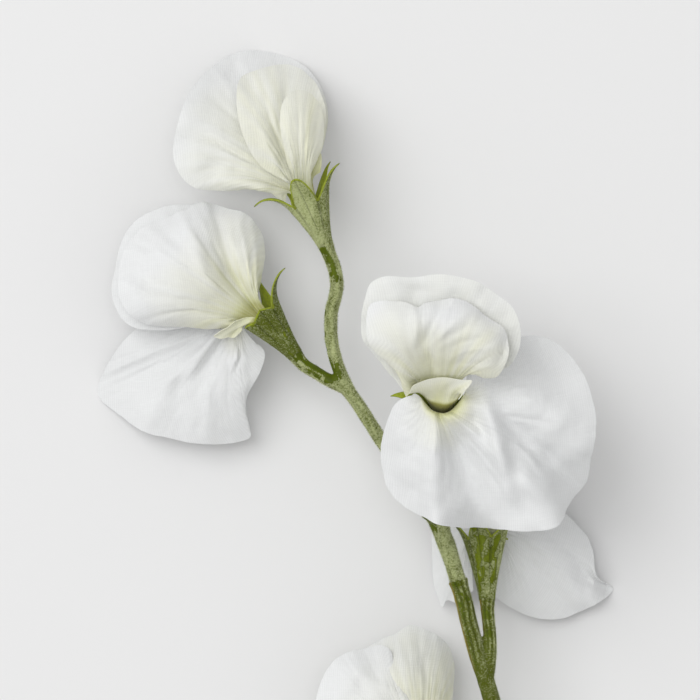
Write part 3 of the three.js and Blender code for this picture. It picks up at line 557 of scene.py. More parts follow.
def evaluated_mesh(made):
    bpy.context.view_layer.update()
    evaluated = made.evaluated_get(bpy.context.evaluated_depsgraph_get())
    return bpy.data.meshes.new_from_object(evaluated)


def applied(made):
    """The object with its modifiers worked into its mesh."""
    mesh = evaluated_mesh(made)
    made.modifiers.clear()
    old, made.data = made.data, mesh
    bpy.data.meshes.remove(old)
    return made


def finish_closed(made):
    """Merges doubles and turns the faces of a closed mesh outwards."""
    shape = bmesh.new()
    shape.from_mesh(made.data)
    bmesh.ops.remove_doubles(shape, verts=shape.verts, dist=0.002 * MM)
    bmesh.ops.recalc_face_normals(shape, faces=shape.faces)
    shape.to_mesh(made.data)
    shape.free()


def ready(made, node):
    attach(made, "root")
    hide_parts(node)
    return made


# Petals.

# How each kind of petal is finished: the fine creases' count and depth, and how far it ruffles.
FINISHES = {
    "banner": {"pleats": 26, "depth": 0.22, "ruffle": 0.22},
    "wings": {"pleats": 34, "depth": 0.34, "ruffle": 0.2},
    "keel": {"pleats": 46, "depth": 0.42, "ruffle": 0.16},
    "tongue": {"pleats": 10, "depth": 0.3, "ruffle": 0.08},
}
# How a crease is shaped: the power of its fall to both sides, less for a sharper crest, and
# whether it opens out like a fan and runs over the rim, or fades at both of its ends.
CREASE_KINDS = {"soft": (2, False), "crisp": (1.15, False), "fan": (2, True), "pleat": (1.2, True)}
CREASE_POINTS = 25
FAN_START = 0.5  # the share of its width that a fan starts with
# Fine creases from the claw: how far they lean, half their width as a share of the petal's, and
# where they start and how far they run, as shares of the way from claw to rim.
PLEAT_LEAN = 0.06
PLEAT_HALF = (0.006, 0.02)
PLEAT_START = (0.15, 0.55)
PLEAT_RUN = (0.2, 0.55)
PLEAT_CREST = 1.3  # the power of its fall to both sides
# Ruffles: their strength, the size of their lumps, where they set in, and their own seed.
RUFFLES = [(1, 6.5, (0.4, 1.0), 1), (0.4, 2.8, (0.3, 0.6), 4)]
STREAK_HEIGHT = 0.055
FREE_FROM = (0.12, 0.4)  # where a petal comes free of its gathers and takes creases
SHARP_EDGE = math.radians(50)
PLAIN_DYE = (20, 0.5)
THROAT_DYE_AND_SHADE = 0.75  # extra colour where a petal leaves its calyx: its dye, and painted shade of the throat
THROAT_END = (0.26, 0.42)  # where along the petal that extra colour and painted shade start and end to fade
DYE_FALL = 1.25
DYE_EDGE = (0.07, 9)  # how uneven the dye's edge is, and the size of its lumps
DYE_STREAKS = (0.16, 1.6)


def cup_frame(blossom):
    """The calyx cup's mouth, axis, right-hand side and upper side, and its length."""
    mouth = np.array(blossom["mouth"], float)
    axis = mouth - np.array(blossom["seam"], float)
    length = np.linalg.norm(axis)
    axis = axis / length
    right = unit(np.cross(axis, (0, 0, 1)))
    return mouth, axis, right, np.cross(right, axis), length


def stretched_film(blossom, petal, columns):
    """A petal's plain surface from claw to rim, settled like a film beyond the cup."""
    mouth, axis, right, upper, _ = cup_frame(blossom)
    rise, shift, half, sag = petal["lip"]
    t = np.linspace(0, 1, columns + 1)
    side = 2 * t - 1
    claw = mouth - axis * CLAW_DEPTH + np.outer(CLAW_HALF_WIDTH * side, right) + upper * petal["layer"]
    lip_up = petal["layer"] * LAYER_SPREAD + sag * (1 - side ** 2)
    lip = mouth + axis * rise + np.outer(shift + half * side, right) + np.outer(lip_up, upper)
    rim = through(petal["rim"], t)
    shoulder = lip + (rim - lip) * SHOULDER
    u = np.linspace(0, 1, FILM_ROWS + 1)[:, None, None]
    v = 1 - u
    film = claw * v ** 4 + lip * (4 * u * v ** 3 + 6 * u ** 2 * v ** 2)
    film += shoulder * (4 * u ** 3 * v) + rim * u ** 4
    for _ in range(FILM_PASSES):
        along = film[FILM_FIRST_ROW - 1:-2, 1:-1] + film[FILM_FIRST_ROW + 1:, 1:-1]
        across = film[FILM_FIRST_ROW:-1, :-2] + film[FILM_FIRST_ROW:-1, 2:]
        film[FILM_FIRST_ROW:-1, 1:-1] = (along * FILM_PULL + across) / (2 * FILM_PULL + 2)
    return film


def lift(petal, u, t):
    """How far the bulge and the pleats lift a petal at each row and column."""
    bow = np.interp(t * (len(petal["bow"]) - 1), np.arange(len(petal["bow"])), petal["bow"])
    height = bow * 4 * u ** 3 * (1 - u)
    for at, width, rise in petal.get("folds", []):
        height = height + rise * bell(t - at, width) * np.sin(math.pi * u) ** 2
    return height


def crease_height(places, creases):
    """Ridges and valleys along lines seen from above."""
    height = np.zeros(places.shape[:-1])
    along = np.linspace(0, 1, CREASE_POINTS)
    for line, width, rise, kind in creases:
        power, opens = CREASE_KINDS[kind]
        line = through(line, along)
        nearest = np.full(height.shape, 1e9)
        place = np.zeros(height.shape)
        for a, b, start, end in zip(line[:-1], line[1:], along[:-1], along[1:]):
            share = np.clip(((places - a) @ (b - a)) / ((b - a) @ (b - a)), 0, 1)
            apart = np.linalg.norm(places - a - share[..., None] * (b - a), axis=-1)
            closer = apart < nearest
            nearest = np.where(closer, apart, nearest)
            place = np.where(closer, start + share * (end - start), place)
        if opens:
            width = width * (FAN_START + (1 - FAN_START) * place)
            taper = smooth_step(place, 0, 0.35)
        else:
            taper = smooth_step(place, 0, 0.3) * smooth_step(1 - place, 0, 0.4)
        height += rise * taper * bell(nearest, width, power)
    return height


def pleat_height(u, t, width_mm, petal_seed, count, depth):
    """Fine creases that radiate from the claw. width_mm is the petal's width along the rim's way."""
    draw = np.random.default_rng(petal_seed)
    height = np.zeros(np.broadcast(u, t).shape)
    for _ in range(count):
        centre = draw.uniform(0.02, 0.98)
        lean = draw.normal(0, PLEAT_LEAN)
        half = draw.uniform(*PLEAT_HALF)
        start = draw.uniform(*PLEAT_START)
        end = start + draw.uniform(*PLEAT_RUN)
        slope = depth * draw.choice([-1, 1]) * draw.uniform(0.3, 1)
        off = np.abs(t - centre - lean * (u - start))
        fade = smooth_step(u, start, start + 0.15) * smooth_step(end - u, 0, 0.2)
        height += slope * half * width_mm * fade * bell(off, half, PLEAT_CREST)
    return height


def face_directions(grid):
    return np.cross(np.gradient(grid, axis=0), np.gradient(grid, axis=1))


def surface_normals(grid):
    """The surface's directions, on the side that mostly faces up."""
    normals = face_directions(grid)
    return unit(normals) * np.sign(normals[..., 2].sum())


def flat_pattern(grid):
    """The sheet laid flat as a fan: distance from the claw, and angle by the rim's length."""
    reach = np.vstack([np.zeros(grid.shape[1]), np.cumsum(steps_along(grid), axis=0)])
    rim_steps = steps_along(grid[-1])
    rim_turn = np.diff(reach[-1])
    across = np.sqrt(np.maximum(rim_steps ** 2 - rim_turn ** 2, (0.15 * rim_steps) ** 2))
    turn = across / np.maximum((reach[-1][1:] + reach[-1][:-1]) / 2, 4)
    angle = np.concatenate([[0], np.cumsum(turn)])
    pattern = np.stack([reach * np.cos(angle), reach * np.sin(angle)], axis=-1)
    # The fan is turned so that its threads run the way that the sheet hangs, seen from above.
    plan = grid[..., :2] - grid[..., :2].mean((0, 1))
    flat = pattern - pattern.mean((0, 1))
    if face_directions(grid)[..., 2].sum() < 0:
        flat = flat * (1, -1)
    dots = (flat * plan).sum()
    crosses = (flat[..., 0] * plan[..., 1] - flat[..., 1] * plan[..., 0]).sum()
    spin = math.atan2(crosses, dots)
    turned = np.array([[math.cos(spin), -math.sin(spin)], [math.sin(spin), math.cos(spin)]])
    return flat @ turned.T


def petal_surface(blossom, petal, finish, seed):
    """A petal's points, its flat pattern, its rows and columns from 0 to 1, and its rim's length."""
    coarse = stretched_film(blossom, petal, 4 * (len(petal["rim"]) - 1))
    rim_length = steps_along(coarse[-1]).sum()
    reach = steps_along(coarse).sum(0).mean()
    rows = round(reach / ROW_STEP)
    columns = round(rim_length / COLUMN_STEP)
    grid = finer(coarse, rows, columns)
    u = np.linspace(0, 1, rows + 1)[:, None]
    t = np.linspace(0, 1, columns + 1)[None, :]
    grid[..., 2] += lift(petal, u, t)
    pattern = flat_pattern(grid)
    width_mm = np.linalg.norm(np.gradient(grid, axis=1), axis=-1) * columns
    free = smooth_step(u, *FREE_FROM)
    grid[..., 2] += crease_height(grid[..., :2], petal.get("creases", [])) * free
    detail = pleat_height(u, t, width_mm, seed, finish["pleats"], finish["depth"])
    for strength, size, start, own_seed in RUFFLES:
        lumps = soft_noise(pattern, size, seed + own_seed)
        detail += strength * finish["ruffle"] * smooth_step(u, *start) * lumps
    streaks = np.stack(np.broadcast_arrays(u * reach / 8, t * rim_length * 0.6), -1)
    detail += STREAK_HEIGHT * smooth_step(u, 0.2, 0.5) * soft_noise(streaks, 1.0, seed + 2)
    grid = grid + surface_normals(grid) * (detail * free)[..., None]
    grid[..., 2] = np.maximum(grid[..., 2], FLOOR_CLEARANCE - blossom["heart"][2])
    return grid, pattern, u, t, rim_length


def dye_and_shade_strength(petal, pattern, u, t, rim_length, seed):
    """Dye and painted shade at each row and column of a petal, in streaks that fade from its claw."""
    reach, strength = petal.get("dye_and_shade", PLAIN_DYE)
    travel = np.linalg.norm(pattern - pattern[: len(pattern) // 6].mean((0, 1)), axis=-1)
    travel = travel / (1 + DYE_EDGE[0] * soft_noise(pattern, DYE_EDGE[1], seed))
    streaks = np.stack(np.broadcast_arrays(u * 1.5, t * rim_length * 0.5), -1)
    faded = strength * np.clip(1 - travel / reach, 0, 1) ** DYE_FALL
    faded = faded * (1 + DYE_STREAKS[0] * soft_noise(streaks, DYE_STREAKS[1], seed + 1))
    # The throat's extra colour: dye, and painted shade where the petal goes down into its cup.
    return faded + strength * THROAT_DYE_AND_SHADE * (1 - smooth_step(u, *THROAT_END))


def petal_piece(blossom, kind, seed):
    petal = blossom["petals"][kind]
    node = f"{kind}_{blossom['name']}"
    grid, pattern, u, t, rim_length = petal_surface(blossom, petal, FINISHES[kind], seed)
    faces = grid_faces(u.size - 1, t.size - 1)
    made = new_object(f"{node}_fabric", grid + np.array(blossom["heart"], float), faces, petal_fabric)
    threads = made.data.uv_layers.new(name="threads")
    corners = np.zeros(len(made.data.loops), np.int64)
    made.data.loops.foreach_get("vertex_index", corners)
    threads.data.foreach_set("uv", pattern.reshape(-1, 2)[corners].ravel())
    # The colour from the claw: the petal's dye, with painted shade where it is strong.
    store(made, "dye_and_shade", dye_and_shade_strength(petal, pattern, u, t, rim_length, seed + 3))
    thickness = made.modifiers.new("Thickness", "SOLIDIFY")
    thickness.thickness = FABRIC_THICKNESS * MM
    thickness.offset = 0
    applied(made)
    made.data.set_sharp_from_angle(angle=SHARP_EDGE)
    ready(made, node)


# Small tools for node trees.

def grow(made, name, tree, settings):
    """Adds a tree to an object and sets its named inputs by their sockets' identifiers."""
    modifier = made.modifiers.new(name, "NODES")
    modifier.node_group = tree
    for item in tree.interface.items_tree:
        if item.item_type == "SOCKET" and item.in_out == "INPUT" and item.name in settings:
            modifier[item.identifier] = settings[item.name]


def new_tree(name, **inputs):
    """An empty Geometry Nodes tree with a geometry input and output and named inputs."""
    tree = bpy.data.node_groups.new(name, "GeometryNodeTree")
    tree.interface.new_socket("Geometry", in_out="INPUT", socket_type="NodeSocketGeometry")
    for label, kind in inputs.items():
        tree.interface.new_socket(label, in_out="INPUT", socket_type=f"NodeSocket{kind}")
    tree.interface.new_socket("Geometry", in_out="OUTPUT", socket_type="NodeSocketGeometry")
    return tree, tree.nodes.new("NodeGroupInput").outputs


def wired(tree, kind, links=(), **settings):
    """A new node's outputs, its inputs linked or set by name or number to a socket or a value."""
    node = tree.nodes.new(kind)
    for label, value in settings.items():
        setattr(node, label, value)
    for place, value in dict(links).items():
        socket = node.inputs[place]
        if isinstance(value, bpy.types.NodeSocket):
            tree.links.new(value, socket)
        else:
            socket.default_value = value
    return node.outputs


def finish_tree(tree, geometry, material):
    """Ends a tree: realised, and given its material."""
    real = wired(tree, "GeometryNodeRealizeInstances", {"Geometry": geometry})
    painted = wired(tree, "GeometryNodeSetMaterial", {"Geometry": real[0], "Material": material})
    wired(tree, "NodeGroupOutput", {0: painted[0]})
    return tree


def linear(red, green, blue):
    """A screen colour, 0 to 255, as the shader's own values."""
    share = np.array([red, green, blue]) / 255
    return (*np.where(share <= 0.04045, share / 12.92, ((share + 0.055) / 1.055) ** 2.4), 1)


def attribute(tree, name):
    return wired(tree, "ShaderNodeAttribute", attribute_name=name)["Fac"]


def maths(tree, operation, *values):
    return wired(tree, "ShaderNodeMath", dict(enumerate(values)), operation=operation)[0]


def mixed(tree, share, first, second):
    """A colour between two."""
    return wired(tree, "ShaderNodeMix", {0: share, 6: first, 7: second}, data_type="RGBA")[2]


def scaled(tree, vector, share):
    return wired(tree, "ShaderNodeVectorMath", {0: vector, "Scale": share}, operation="SCALE")[0]


def ranged(tree, value, low, high, to_low=0.0, to_high=1.0):
    limits = {"From Min": low, "From Max": high, "To Min": to_low, "To Max": to_high}
    return wired(tree, "ShaderNodeMapRange", {"Value": value, **limits})["Result"]


def noise(tree, where, scale, detail=3.0, roughness=0.55):
    lumps = {"Scale": scale, "Detail": detail, "Roughness": roughness}
    return wired(tree, "ShaderNodeTexNoise", {"Vector": where, **lumps})["Fac"]


def stretched(tree, where, scale):
    return wired(tree, "ShaderNodeMapping", {"Vector": where, "Scale": scale})[0]


# Calyces.

# The outline of a sepal: the powers that its height falls by from its middle to its sides.
SEPAL_SHAPES = {"spike": (1, 1.7), "leaf": (1, 1.1), "blunt": (1.25, 0.85), "tongue": (2.2, 0.7)}
SEPAL_ROOT = 0.6  # height of the wall between two sepals, past the mouth
SEPAL_COLUMNS = 20
CUP_ROWS = 26
SEPAL_ROWS = 26
CURL_STEPS = 120
CURL_POWER = 1.3
CLOSING_HEIGHT = 2.5  # how high up a sepal its sides have turned to face its own way
EDGE_WALL = 0.35  # share of the wall that is left at a sepal's edge
BARE_EDGE = 0.5  # width of a sepal's edge that holds no flock
GROOVE_DEPTH = 0.2
LEAST_BORE = 1.0
FAR_FROM_EDGE = 9
PATCH_LENGTH = 2.6


def sepal_path(slope, length, curl, heights):
    """Outward and upward travel, and slope, at heights along a sepal that curls outwards."""
    fine = np.linspace(0, 1, CURL_STEPS + 1)
    slopes = slope + curl * fine ** CURL_POWER
    step = length / CURL_STEPS
    out = np.concatenate([[0], np.cumsum(np.sin(slopes[:-1]) * step)])
    rise = np.concatenate([[0], np.cumsum(np.cos(slopes[:-1]) * step)])
    at = heights / length
    return np.interp(at, fine, out), np.interp(at, fine, rise), np.interp(at, fine, slopes)


def cup_columns(blossom):
    """For each column round a calyx: its angle, its sepal, its sepal's middle and how far off that."""
    place = np.arange(SEPALS * SEPAL_COLUMNS)
    turn = math.radians(blossom["sepal_turn"])
    sepal = np.round(place / SEPAL_COLUMNS).astype(int)
    middle = turn + 2 * math.pi * sepal / SEPALS
    angle = turn + 2 * math.pi * place / len(place)
    return angle, sepal, middle, (place / SEPAL_COLUMNS - sepal) * 2


def cup_wall(length, angle, off):
    """Rings up the outside of a calyx cup, with a groove down each sepal's middle and side."""
    widen = CUP_MOUTH_RADIUS - CUP_SEAM_RADIUS
    side = np.abs(off)
    relief = GROOVE_DEPTH * (0.45 * bell(side - 0.32, 0.16) - bell(off, 0.11) - bell(side - 1, 0.12))
    rings, slopes = [], []
    for place in np.linspace(0, 1, CUP_ROWS + 1):
        radius = CUP_SEAM_RADIUS + widen * place ** CUP_FLARE + relief * smooth_step(place, 0.1, 0.6)
        lean = math.atan(CUP_FLARE * widen * max(place, 0.01) ** (CUP_FLARE - 1) / length)
        up = 0 * angle + length * place
        rings.append(np.stack([radius * np.cos(angle), radius * np.sin(angle), up], -1))
        slopes.append(0 * angle + lean)
    return rings, slopes


def sepal_rows(blossom, rim, lean, columns):
    """Rings from the cup's mouth to the sepals' edges, with slopes, walls and distances to the edge."""
    rings, slopes, walls, edges = [], [], [], []
    half_width = math.pi * CUP_MOUTH_RADIUS / SEPALS
    for row in range(1, SEPAL_ROWS + 1):
        ring = rim.copy()
        slope, edge = np.zeros(len(rim)), np.zeros(len(rim))
        for column, (angle, sepal, middle, off) in enumerate(zip(*columns)):
            tall, curl, shape = blossom["sepals"][sepal % SEPALS]
            inner, outer = SEPAL_SHAPES[shape]
            top = SEPAL_ROOT + tall * (1 - abs(off) ** inner) ** outer
            height = top * row / SEPAL_ROWS
            out, rise, slope[column] = sepal_path(lean, SEPAL_ROOT + tall, math.radians(curl), height)
            towards = angle + (middle - angle) * min(1, height / CLOSING_HEIGHT)
            ring[column] += (out * math.cos(towards), out * math.sin(towards), rise)
            side = (1 - min(1, max(0, height - SEPAL_ROOT) / tall) ** (1 / outer)) ** (1 / inner)
            edge[column] = min(top - height, max(0, side - abs(off)) * half_width)
        rings.append(ring)
        slopes.append(slope)
        walls.append(np.full(len(rim), CUP_WALL * (1 - (1 - EDGE_WALL) * (row / SEPAL_ROWS) ** 2)))
        edges.append(edge)
    return rings, slopes, walls, edges


def calyx_skin(blossom, length):
    """Rings up the outside and down the inside of a calyx, and the outside's distances to an edge."""
    columns = cup_columns(blossom)
    angle = columns[0]
    cup, cup_slopes = cup_wall(length, angle, columns[3])
    rings, rim_slopes, rim_walls, rim_edges = sepal_rows(blossom, cup[-1], cup_slopes[-1][0], columns)
    outside = np.array(cup + rings)
    slopes = np.array(cup_slopes + rim_slopes)
    walls = np.array([CUP_WALL + 0 * angle] * len(cup) + rim_walls)
    edges = np.array([FAR_FROM_EDGE + 0 * angle] * len(cup) + rim_edges)
    inside = outside.copy()
    around = np.stack([np.cos(angle), np.sin(angle)], -1)
    inside[..., :2] -= around * (walls * np.cos(slopes))[..., None]
    inside[..., 2] += walls * np.sin(slopes)
    bore = np.linalg.norm(inside[: len(cup), :, :2], axis=-1, keepdims=True)
    inside[: len(cup), :, :2] *= np.maximum(1, LEAST_BORE / bore)
    inside[..., 2] = np.maximum(inside[..., 2], CUP_FLOOR + 0.01 * np.arange(len(inside))[:, None])
    return np.concatenate([outside, inside[::-1]]), edges


def calyx_faces(rings, columns):
    """The faces of a calyx's skin, closed at its seam and at its floor by one point each."""
    faces = [list(face) for face in ring_faces(rings, columns)]
    seam, floor, last = rings * columns, rings * columns + 1, (rings - 1) * columns
    for column in range(columns):
        beside = (column + 1) % columns
        faces.append([seam, beside, column])
        faces.append([floor, last + column, last + beside])
    return faces


def store_calyx_finish(made, blossom, local, edges, seed):
    """No flock on the sepals' edges, on the inside, or where it is rubbed off in long patches; painted
    shade down the grooves.
    """
    angle, _, _, off = cup_columns(blossom)
    edge = 1 - smooth_step(edges, 0.6 * BARE_EDGE, BARE_EDGE)
    lining = np.concatenate([edge.ravel(), np.ones(edge.size), (1, 1)])
    along = np.stack([local[:, 2] / PATCH_LENGTH, *(unit(local[:, :2]) * PATCH_LENGTH).T], -1)
    patches = smooth_step(soft_noise(along, 0.8, seed) + blossom["rubbed"], 0.75, 1.0)
    thin = blossom["thin"] + blossom["thin_right"] * np.cos(angle)
    thin = np.concatenate([np.tile(thin, 2 * len(edges)), (1, 1)])
    store(made, "worn", np.clip(np.maximum(lining, patches), thin, 1))
    store(made, "lining", lining)
    # Painted shade in the grooves down each sepal's middle and sides.
    painted_groove_shade = np.where(np.abs(off) < 0.08, -1.0, 0.4) - 1.2 * (np.abs(off) > 0.88)
    painted_groove_shade = painted_groove_shade * smooth_step(np.arange(len(edge)), 4, 16)[:, None]
    store(made, "ribs", np.concatenate([painted_groove_shade.ravel(), 0 * painted_groove_shade.ravel(), (0, 0)]))


def calyx_piece(blossom, seed):
    mouth, axis, right, upper, length = cup_frame(blossom)
    skin, edges = calyx_skin(blossom, length)
    local = np.vstack([skin.reshape(-1, 3), (0, 0, 0), (0, 0, CUP_FLOOR)])
    points = mouth + np.array(blossom["heart"], float) + np.outer(local[:, 0], right)
    points = points + np.outer(local[:, 1], upper) + np.outer(local[:, 2] - length, axis)
    name = f"calyx_{blossom['name']}"
    made = new_object(f"{name}_moulding", points, calyx_faces(*skin.shape[:2]), calyx_plastic)
    store_calyx_finish(made, blossom, local, edges, seed)
    finish_closed(made)
    return ready(made, name)


# Stems.

STEM_SIDES = 28
BLOCK = 20000  # points worked on at a time
JOIN_BLEND = (0.6, 2.5)  # how far from a join the ridges set in
SEAM_ANGLE = -1.2
MOST_THIN = 0.68
RUB_EDGE = (0.5, 0.68)


def centreline(route, step=1.0):
    """Points along the smooth line through a route, close together."""
    route = np.asarray(route, float)
    ends = np.vstack([2 * route[0] - route[1], route, 2 * route[-1] - route[-2]])
    gaps = np.sqrt(steps_along(ends))
    points = []
    for i in range(1, len(ends) - 2):
        a, b, c, d = ends[i - 1: i + 3]
        g, h, k = gaps[i - 1: i + 2]
        start = ((b - a) / g - (c - a) / (g + h) + (c - b) / h) * h
        end = ((c - b) / h - (d - b) / (h + k) + (d - c) / k) * h
        for s in np.arange(0, 1, step / max(np.linalg.norm(c - b), step)):
            cubic = (2 * s ** 3 - 3 * s ** 2 + 1) * b + (s ** 3 - 2 * s ** 2 + s) * start
            points.append(cubic + (3 * s ** 2 - 2 * s ** 3) * c + (s ** 3 - s ** 2) * end)
    return np.array(points + [route[-1]])


def calyx_seat(name):
    """The middle of a calyx's seam, and the cup's axis."""
    blossom = next(b for b in BLOSSOMS if b["name"] == name)
    mouth, axis, _, _, length = cup_frame(blossom)
    return np.array(blossom["heart"]) + mouth - axis * length, axis


def to_calyx(route, name):
    """A stalk's route, finished square to its calyx and let into it."""
    seam, axis = calyx_seat(name)
    return [*route, seam - axis * STALK_END, seam + axis * STALK_ENTRY]


def flare(name):
    """The swelling that leads a stalk into its calyx."""
    seam, axis = calyx_seat(name)
    return (seam + axis * STALK_ENTRY, 2.0, 0.36)


def stalk(name):
    route = to_calyx(STALK_ROUTES[name], name)
    return {"route": route, "radii": (STALK_RADIUS, STALK_RADIUS), "swellings": [flare(name)]}


def stem_lines(lengths):
    """Each length's points, distances along it and radii, its swellings added."""
    lines = []
    for part in lengths:
        line = centreline(part["route"])
        along = np.concatenate([[0], np.cumsum(steps_along(line))])
        radius = np.interp(along / along[-1], np.linspace(0, 1, len(part["radii"])), part["radii"])
        for place, width, height in part.get("swellings", []):
            radius = radius + height * bell(np.linalg.norm(line - place, axis=1), width)
        lines.append((line, along, radius))
    return lines


def swept_stem(name, lines):
    """The lengths swept as round rods and melted into one smooth moulding."""
    curve = bpy.data.curves.new(name, "CURVE")
    curve.dimensions = "3D"
    for line, _, radius in lines:
        spline = curve.splines.new("POLY")
        spline.points.add(len(line) - 1)
        for point, at, r in zip(spline.points, line, radius):
            point.co = (*(at * MM), 1)
            point.radius = r * MM
    holder = linked(f"{name}_lines", curve)
    grow(holder, "Sweep", sweep_tree, {"Sides": STEM_SIDES, "Material": stem_plastic})
    mesh = evaluated_mesh(holder)
    bpy.data.objects.remove(holder)
    made = linked(f"{name}_moulding", mesh)
    finish_closed(made)
    melt = made.modifiers.new("Melt", "REMESH")
    melt.mode = "VOXEL"
    melt.voxel_size = MELT_SIZE * MM
    ease = made.modifiers.new("Ease", "SMOOTH")
    ease.factor = 0.5
    ease.iterations = 10
    applied(made)
    made.data.polygons.foreach_set("use_smooth", [True] * len(made.data.polygons))
    return made


def nearest_length(points, lines):
    """Each point's angle round its nearest length, travel along that, and clearness of joins."""
    count = len(points)
    nearest, second = np.full(count, 1e9), np.full(count, 1e9)
    angle, travel = np.zeros(count), np.zeros(count)
    for line, along, _ in lines:
        apart, index = np.zeros(count), np.zeros(count, int)
        for start in range(0, count, BLOCK):
            block = slice(start, start + BLOCK)
            gaps = np.linalg.norm(points[block, None] - line[None], axis=-1)
            index[block] = gaps.argmin(1)
            apart[block] = gaps.min(1)
        tangent = unit(np.gradient(line, axis=0))[index]
        side = unit(np.cross(tangent, (0, 0, 1)))
        out = points - line[index]
        here = np.arctan2((out * side).sum(-1), (out * np.cross(side, tangent)).sum(-1))
        closer = apart < nearest
        second = np.where(closer, nearest, np.minimum(second, apart))
        angle = np.where(closer, here, angle)
        travel = np.where(closer, along[index], travel)
        nearest = np.where(closer, apart, nearest)
    return angle, travel, smooth_step(second - nearest, *JOIN_BLEND)


def store_stem_finish(made, finish, points, angle, travel, ridge, clear, seed):
    """Flock thinner in grooves and on one side, rubbed off in patches with clear edges, and painted
    shade in the grooves.
    """
    drawn_out = np.stack([travel / 2.4, np.cos(angle) * 1.6, np.sin(angle) * 1.6], -1)
    thin = finish["thin"] - finish["thin_side"] * np.sin(angle) - finish["thin_grooves"] * ridge
    thin = np.clip(thin + 0.07 * soft_noise(drawn_out, 0.9, seed + 4), 0, MOST_THIN)
    rubs = 0.3 * soft_noise(drawn_out, 0.55, seed + 3)
    for place, reach in finish["rubs"]:
        rubs = rubs + bell(np.linalg.norm(points - place, axis=1), reach)
    store(made, "worn", np.clip(np.maximum(thin, smooth_step(rubs, *RUB_EDGE)), 0, 1))
    # Painted shade in the grooves, as strong as the finish's share.
    store(made, "ribs", ridge * finish["shade"])
    store(made, "seam", bell(angle - SEAM_ANGLE, 0.22) * finish["seam"] * clear)


def stem_piece(name, lengths, finish, seed):
    """Joins lengths of stem, each with a route, its radii and its swellings, into one moulding."""
    lines = stem_lines(lengths)
    made = swept_stem(name, lines)
    points = per_vertex(made, "co") / MM
    angle, travel, clear = nearest_length(points, lines)
    wander = soft_noise(np.stack([travel / 14, travel * 0], -1), 0.5, seed)
    ridge = np.cos(finish["ridges"] * angle + 1.5 * wander + finish["turn"])
    ridge = np.sign(ridge) * np.abs(ridge) ** 0.7 * clear
    height = finish["relief"] * ridge + 0.025 * soft_noise(points, 1.3, seed + 1)
    points = points + per_vertex(made, "normal") * height[:, None]
    put_vertices(made, points * MM)
    store_stem_finish(made, finish, points, angle, travel, ridge, clear, seed)
    return ready(made, name)


# Flock.

FIBRE_RADIUS = 0.03
FIBRE_LEAN = 0.8
FIBRE_SIZES = (0.5, 1.2)
BARE_FROM = 0.75  # how worn a surface is that holds no fibres
# How many fibres stand on a square millimetre, and how long they are.
CALYX_FLOCK = (34, 0.28)
UPPER_FLOCK = (34, 0.42)
LOWER_FLOCK = (30, 0.42)


def flock_piece(made, name, flock, seed):
    """Short fibres that stand on a moulding where its flock isn't worn away."""
    fibres = linked(name, made.data.copy())
    density, length = flock
    settings = {
        "Density": density / MM ** 2, "Length": length * MM, "Radius": FIBRE_RADIUS * MM,
        "Lean": FIBRE_LEAN, "Seed": seed, "Material": flock_fibre,
    }
    grow(fibres, "Flock", flock_tree, settings)
    applied(fibres)
    put_vertices(fibres, per_vertex(fibres, "co"))
    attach(fibres, "root")


def make_sweep_tree():
    """A round profile swept along every line, as thick as the line's own radius."""
    tree, given = new_tree("Sweep", Sides="Int", Material="Material")
    radius = wired(tree, "GeometryNodeInputRadius")
    circle = wired(
        tree, "GeometryNodeCurvePrimitiveCircle", {"Resolution": given["Sides"], "Radius": 1.0}
    )
    swept = wired(
        tree, "GeometryNodeCurveToMesh",
        {
            "Curve": given["Geometry"], "Profile Curve": circle["Curve"],
            "Scale": radius["Radius"], "Fill Caps": True,
        },
    )
    return finish_tree(tree, swept["Mesh"], given["Material"])


def leaning(tree, normal, lean, seed):
    """How each fibre is turned: off its surface, and more or less to any side."""
    loose = wired(
        tree, "FunctionNodeRandomValue",
        {0: (-1, -1, -1), 1: (1, 1, 1), "Seed": seed}, data_type="FLOAT_VECTOR",
    )
    sideways = scaled(tree, loose[0], lean)
    way = wired(tree, "ShaderNodeVectorMath", {0: normal, 1: sideways}, operation="ADD")
    return wired(tree, "FunctionNodeAlignRotationToVector", {"Vector": way[0]}, axis="Z")[0]


def make_flock_tree():
    """Thin three-sided fibres on a surface, sparse where it is worn."""
    tree, given = new_tree(
        "Flock", Density="Float", Length="Float", Radius="Float", Lean="Float", Seed="Int",
        Material="Material",
    )
    seed = given["Seed"]
    worn = wired(tree, "GeometryNodeInputNamedAttribute", {"Name": "worn"}, data_type="FLOAT")
    kept = ranged(tree, worn["Attribute"], 0.0, BARE_FROM, 1.0, 0.0)
    density = maths(tree, "MULTIPLY", kept, given["Density"])
    points = wired(
        tree, "GeometryNodeDistributePointsOnFaces",
        {"Mesh": given["Geometry"], "Density": density, "Seed": seed},
    )
    fibre = wired(
        tree, "GeometryNodeMeshCone",
        {"Vertices": 3, "Radius Bottom": given["Radius"], "Depth": given["Length"]}, fill_type="NONE",
    )
    size = wired(
        tree, "FunctionNodeRandomValue",
        {2: FIBRE_SIZES[0], 3: FIBRE_SIZES[1], "Seed": seed}, data_type="FLOAT",
    )
    fibres = wired(
        tree, "GeometryNodeInstanceOnPoints",
        {
            "Points": points["Points"], "Instance": fibre["Mesh"], "Scale": size[1],
            "Rotation": leaning(tree, points["Normal"], given["Lean"], seed),
        },
    )
    return finish_tree(tree, fibres[0], given["Material"])


# Materials.

RIB_PITCH = 0.56  # between two warp ribs of the petal fabric
WEFT_PITCH = 0.42
WEAVE_DEPTH = 0.045
THROUGH_SHARE = 0.18  # share of the light that goes through the fabric
PETAL_WHITE = linear(239, 240, 240)
PETAL_CREAM = linear(238, 238, 219)
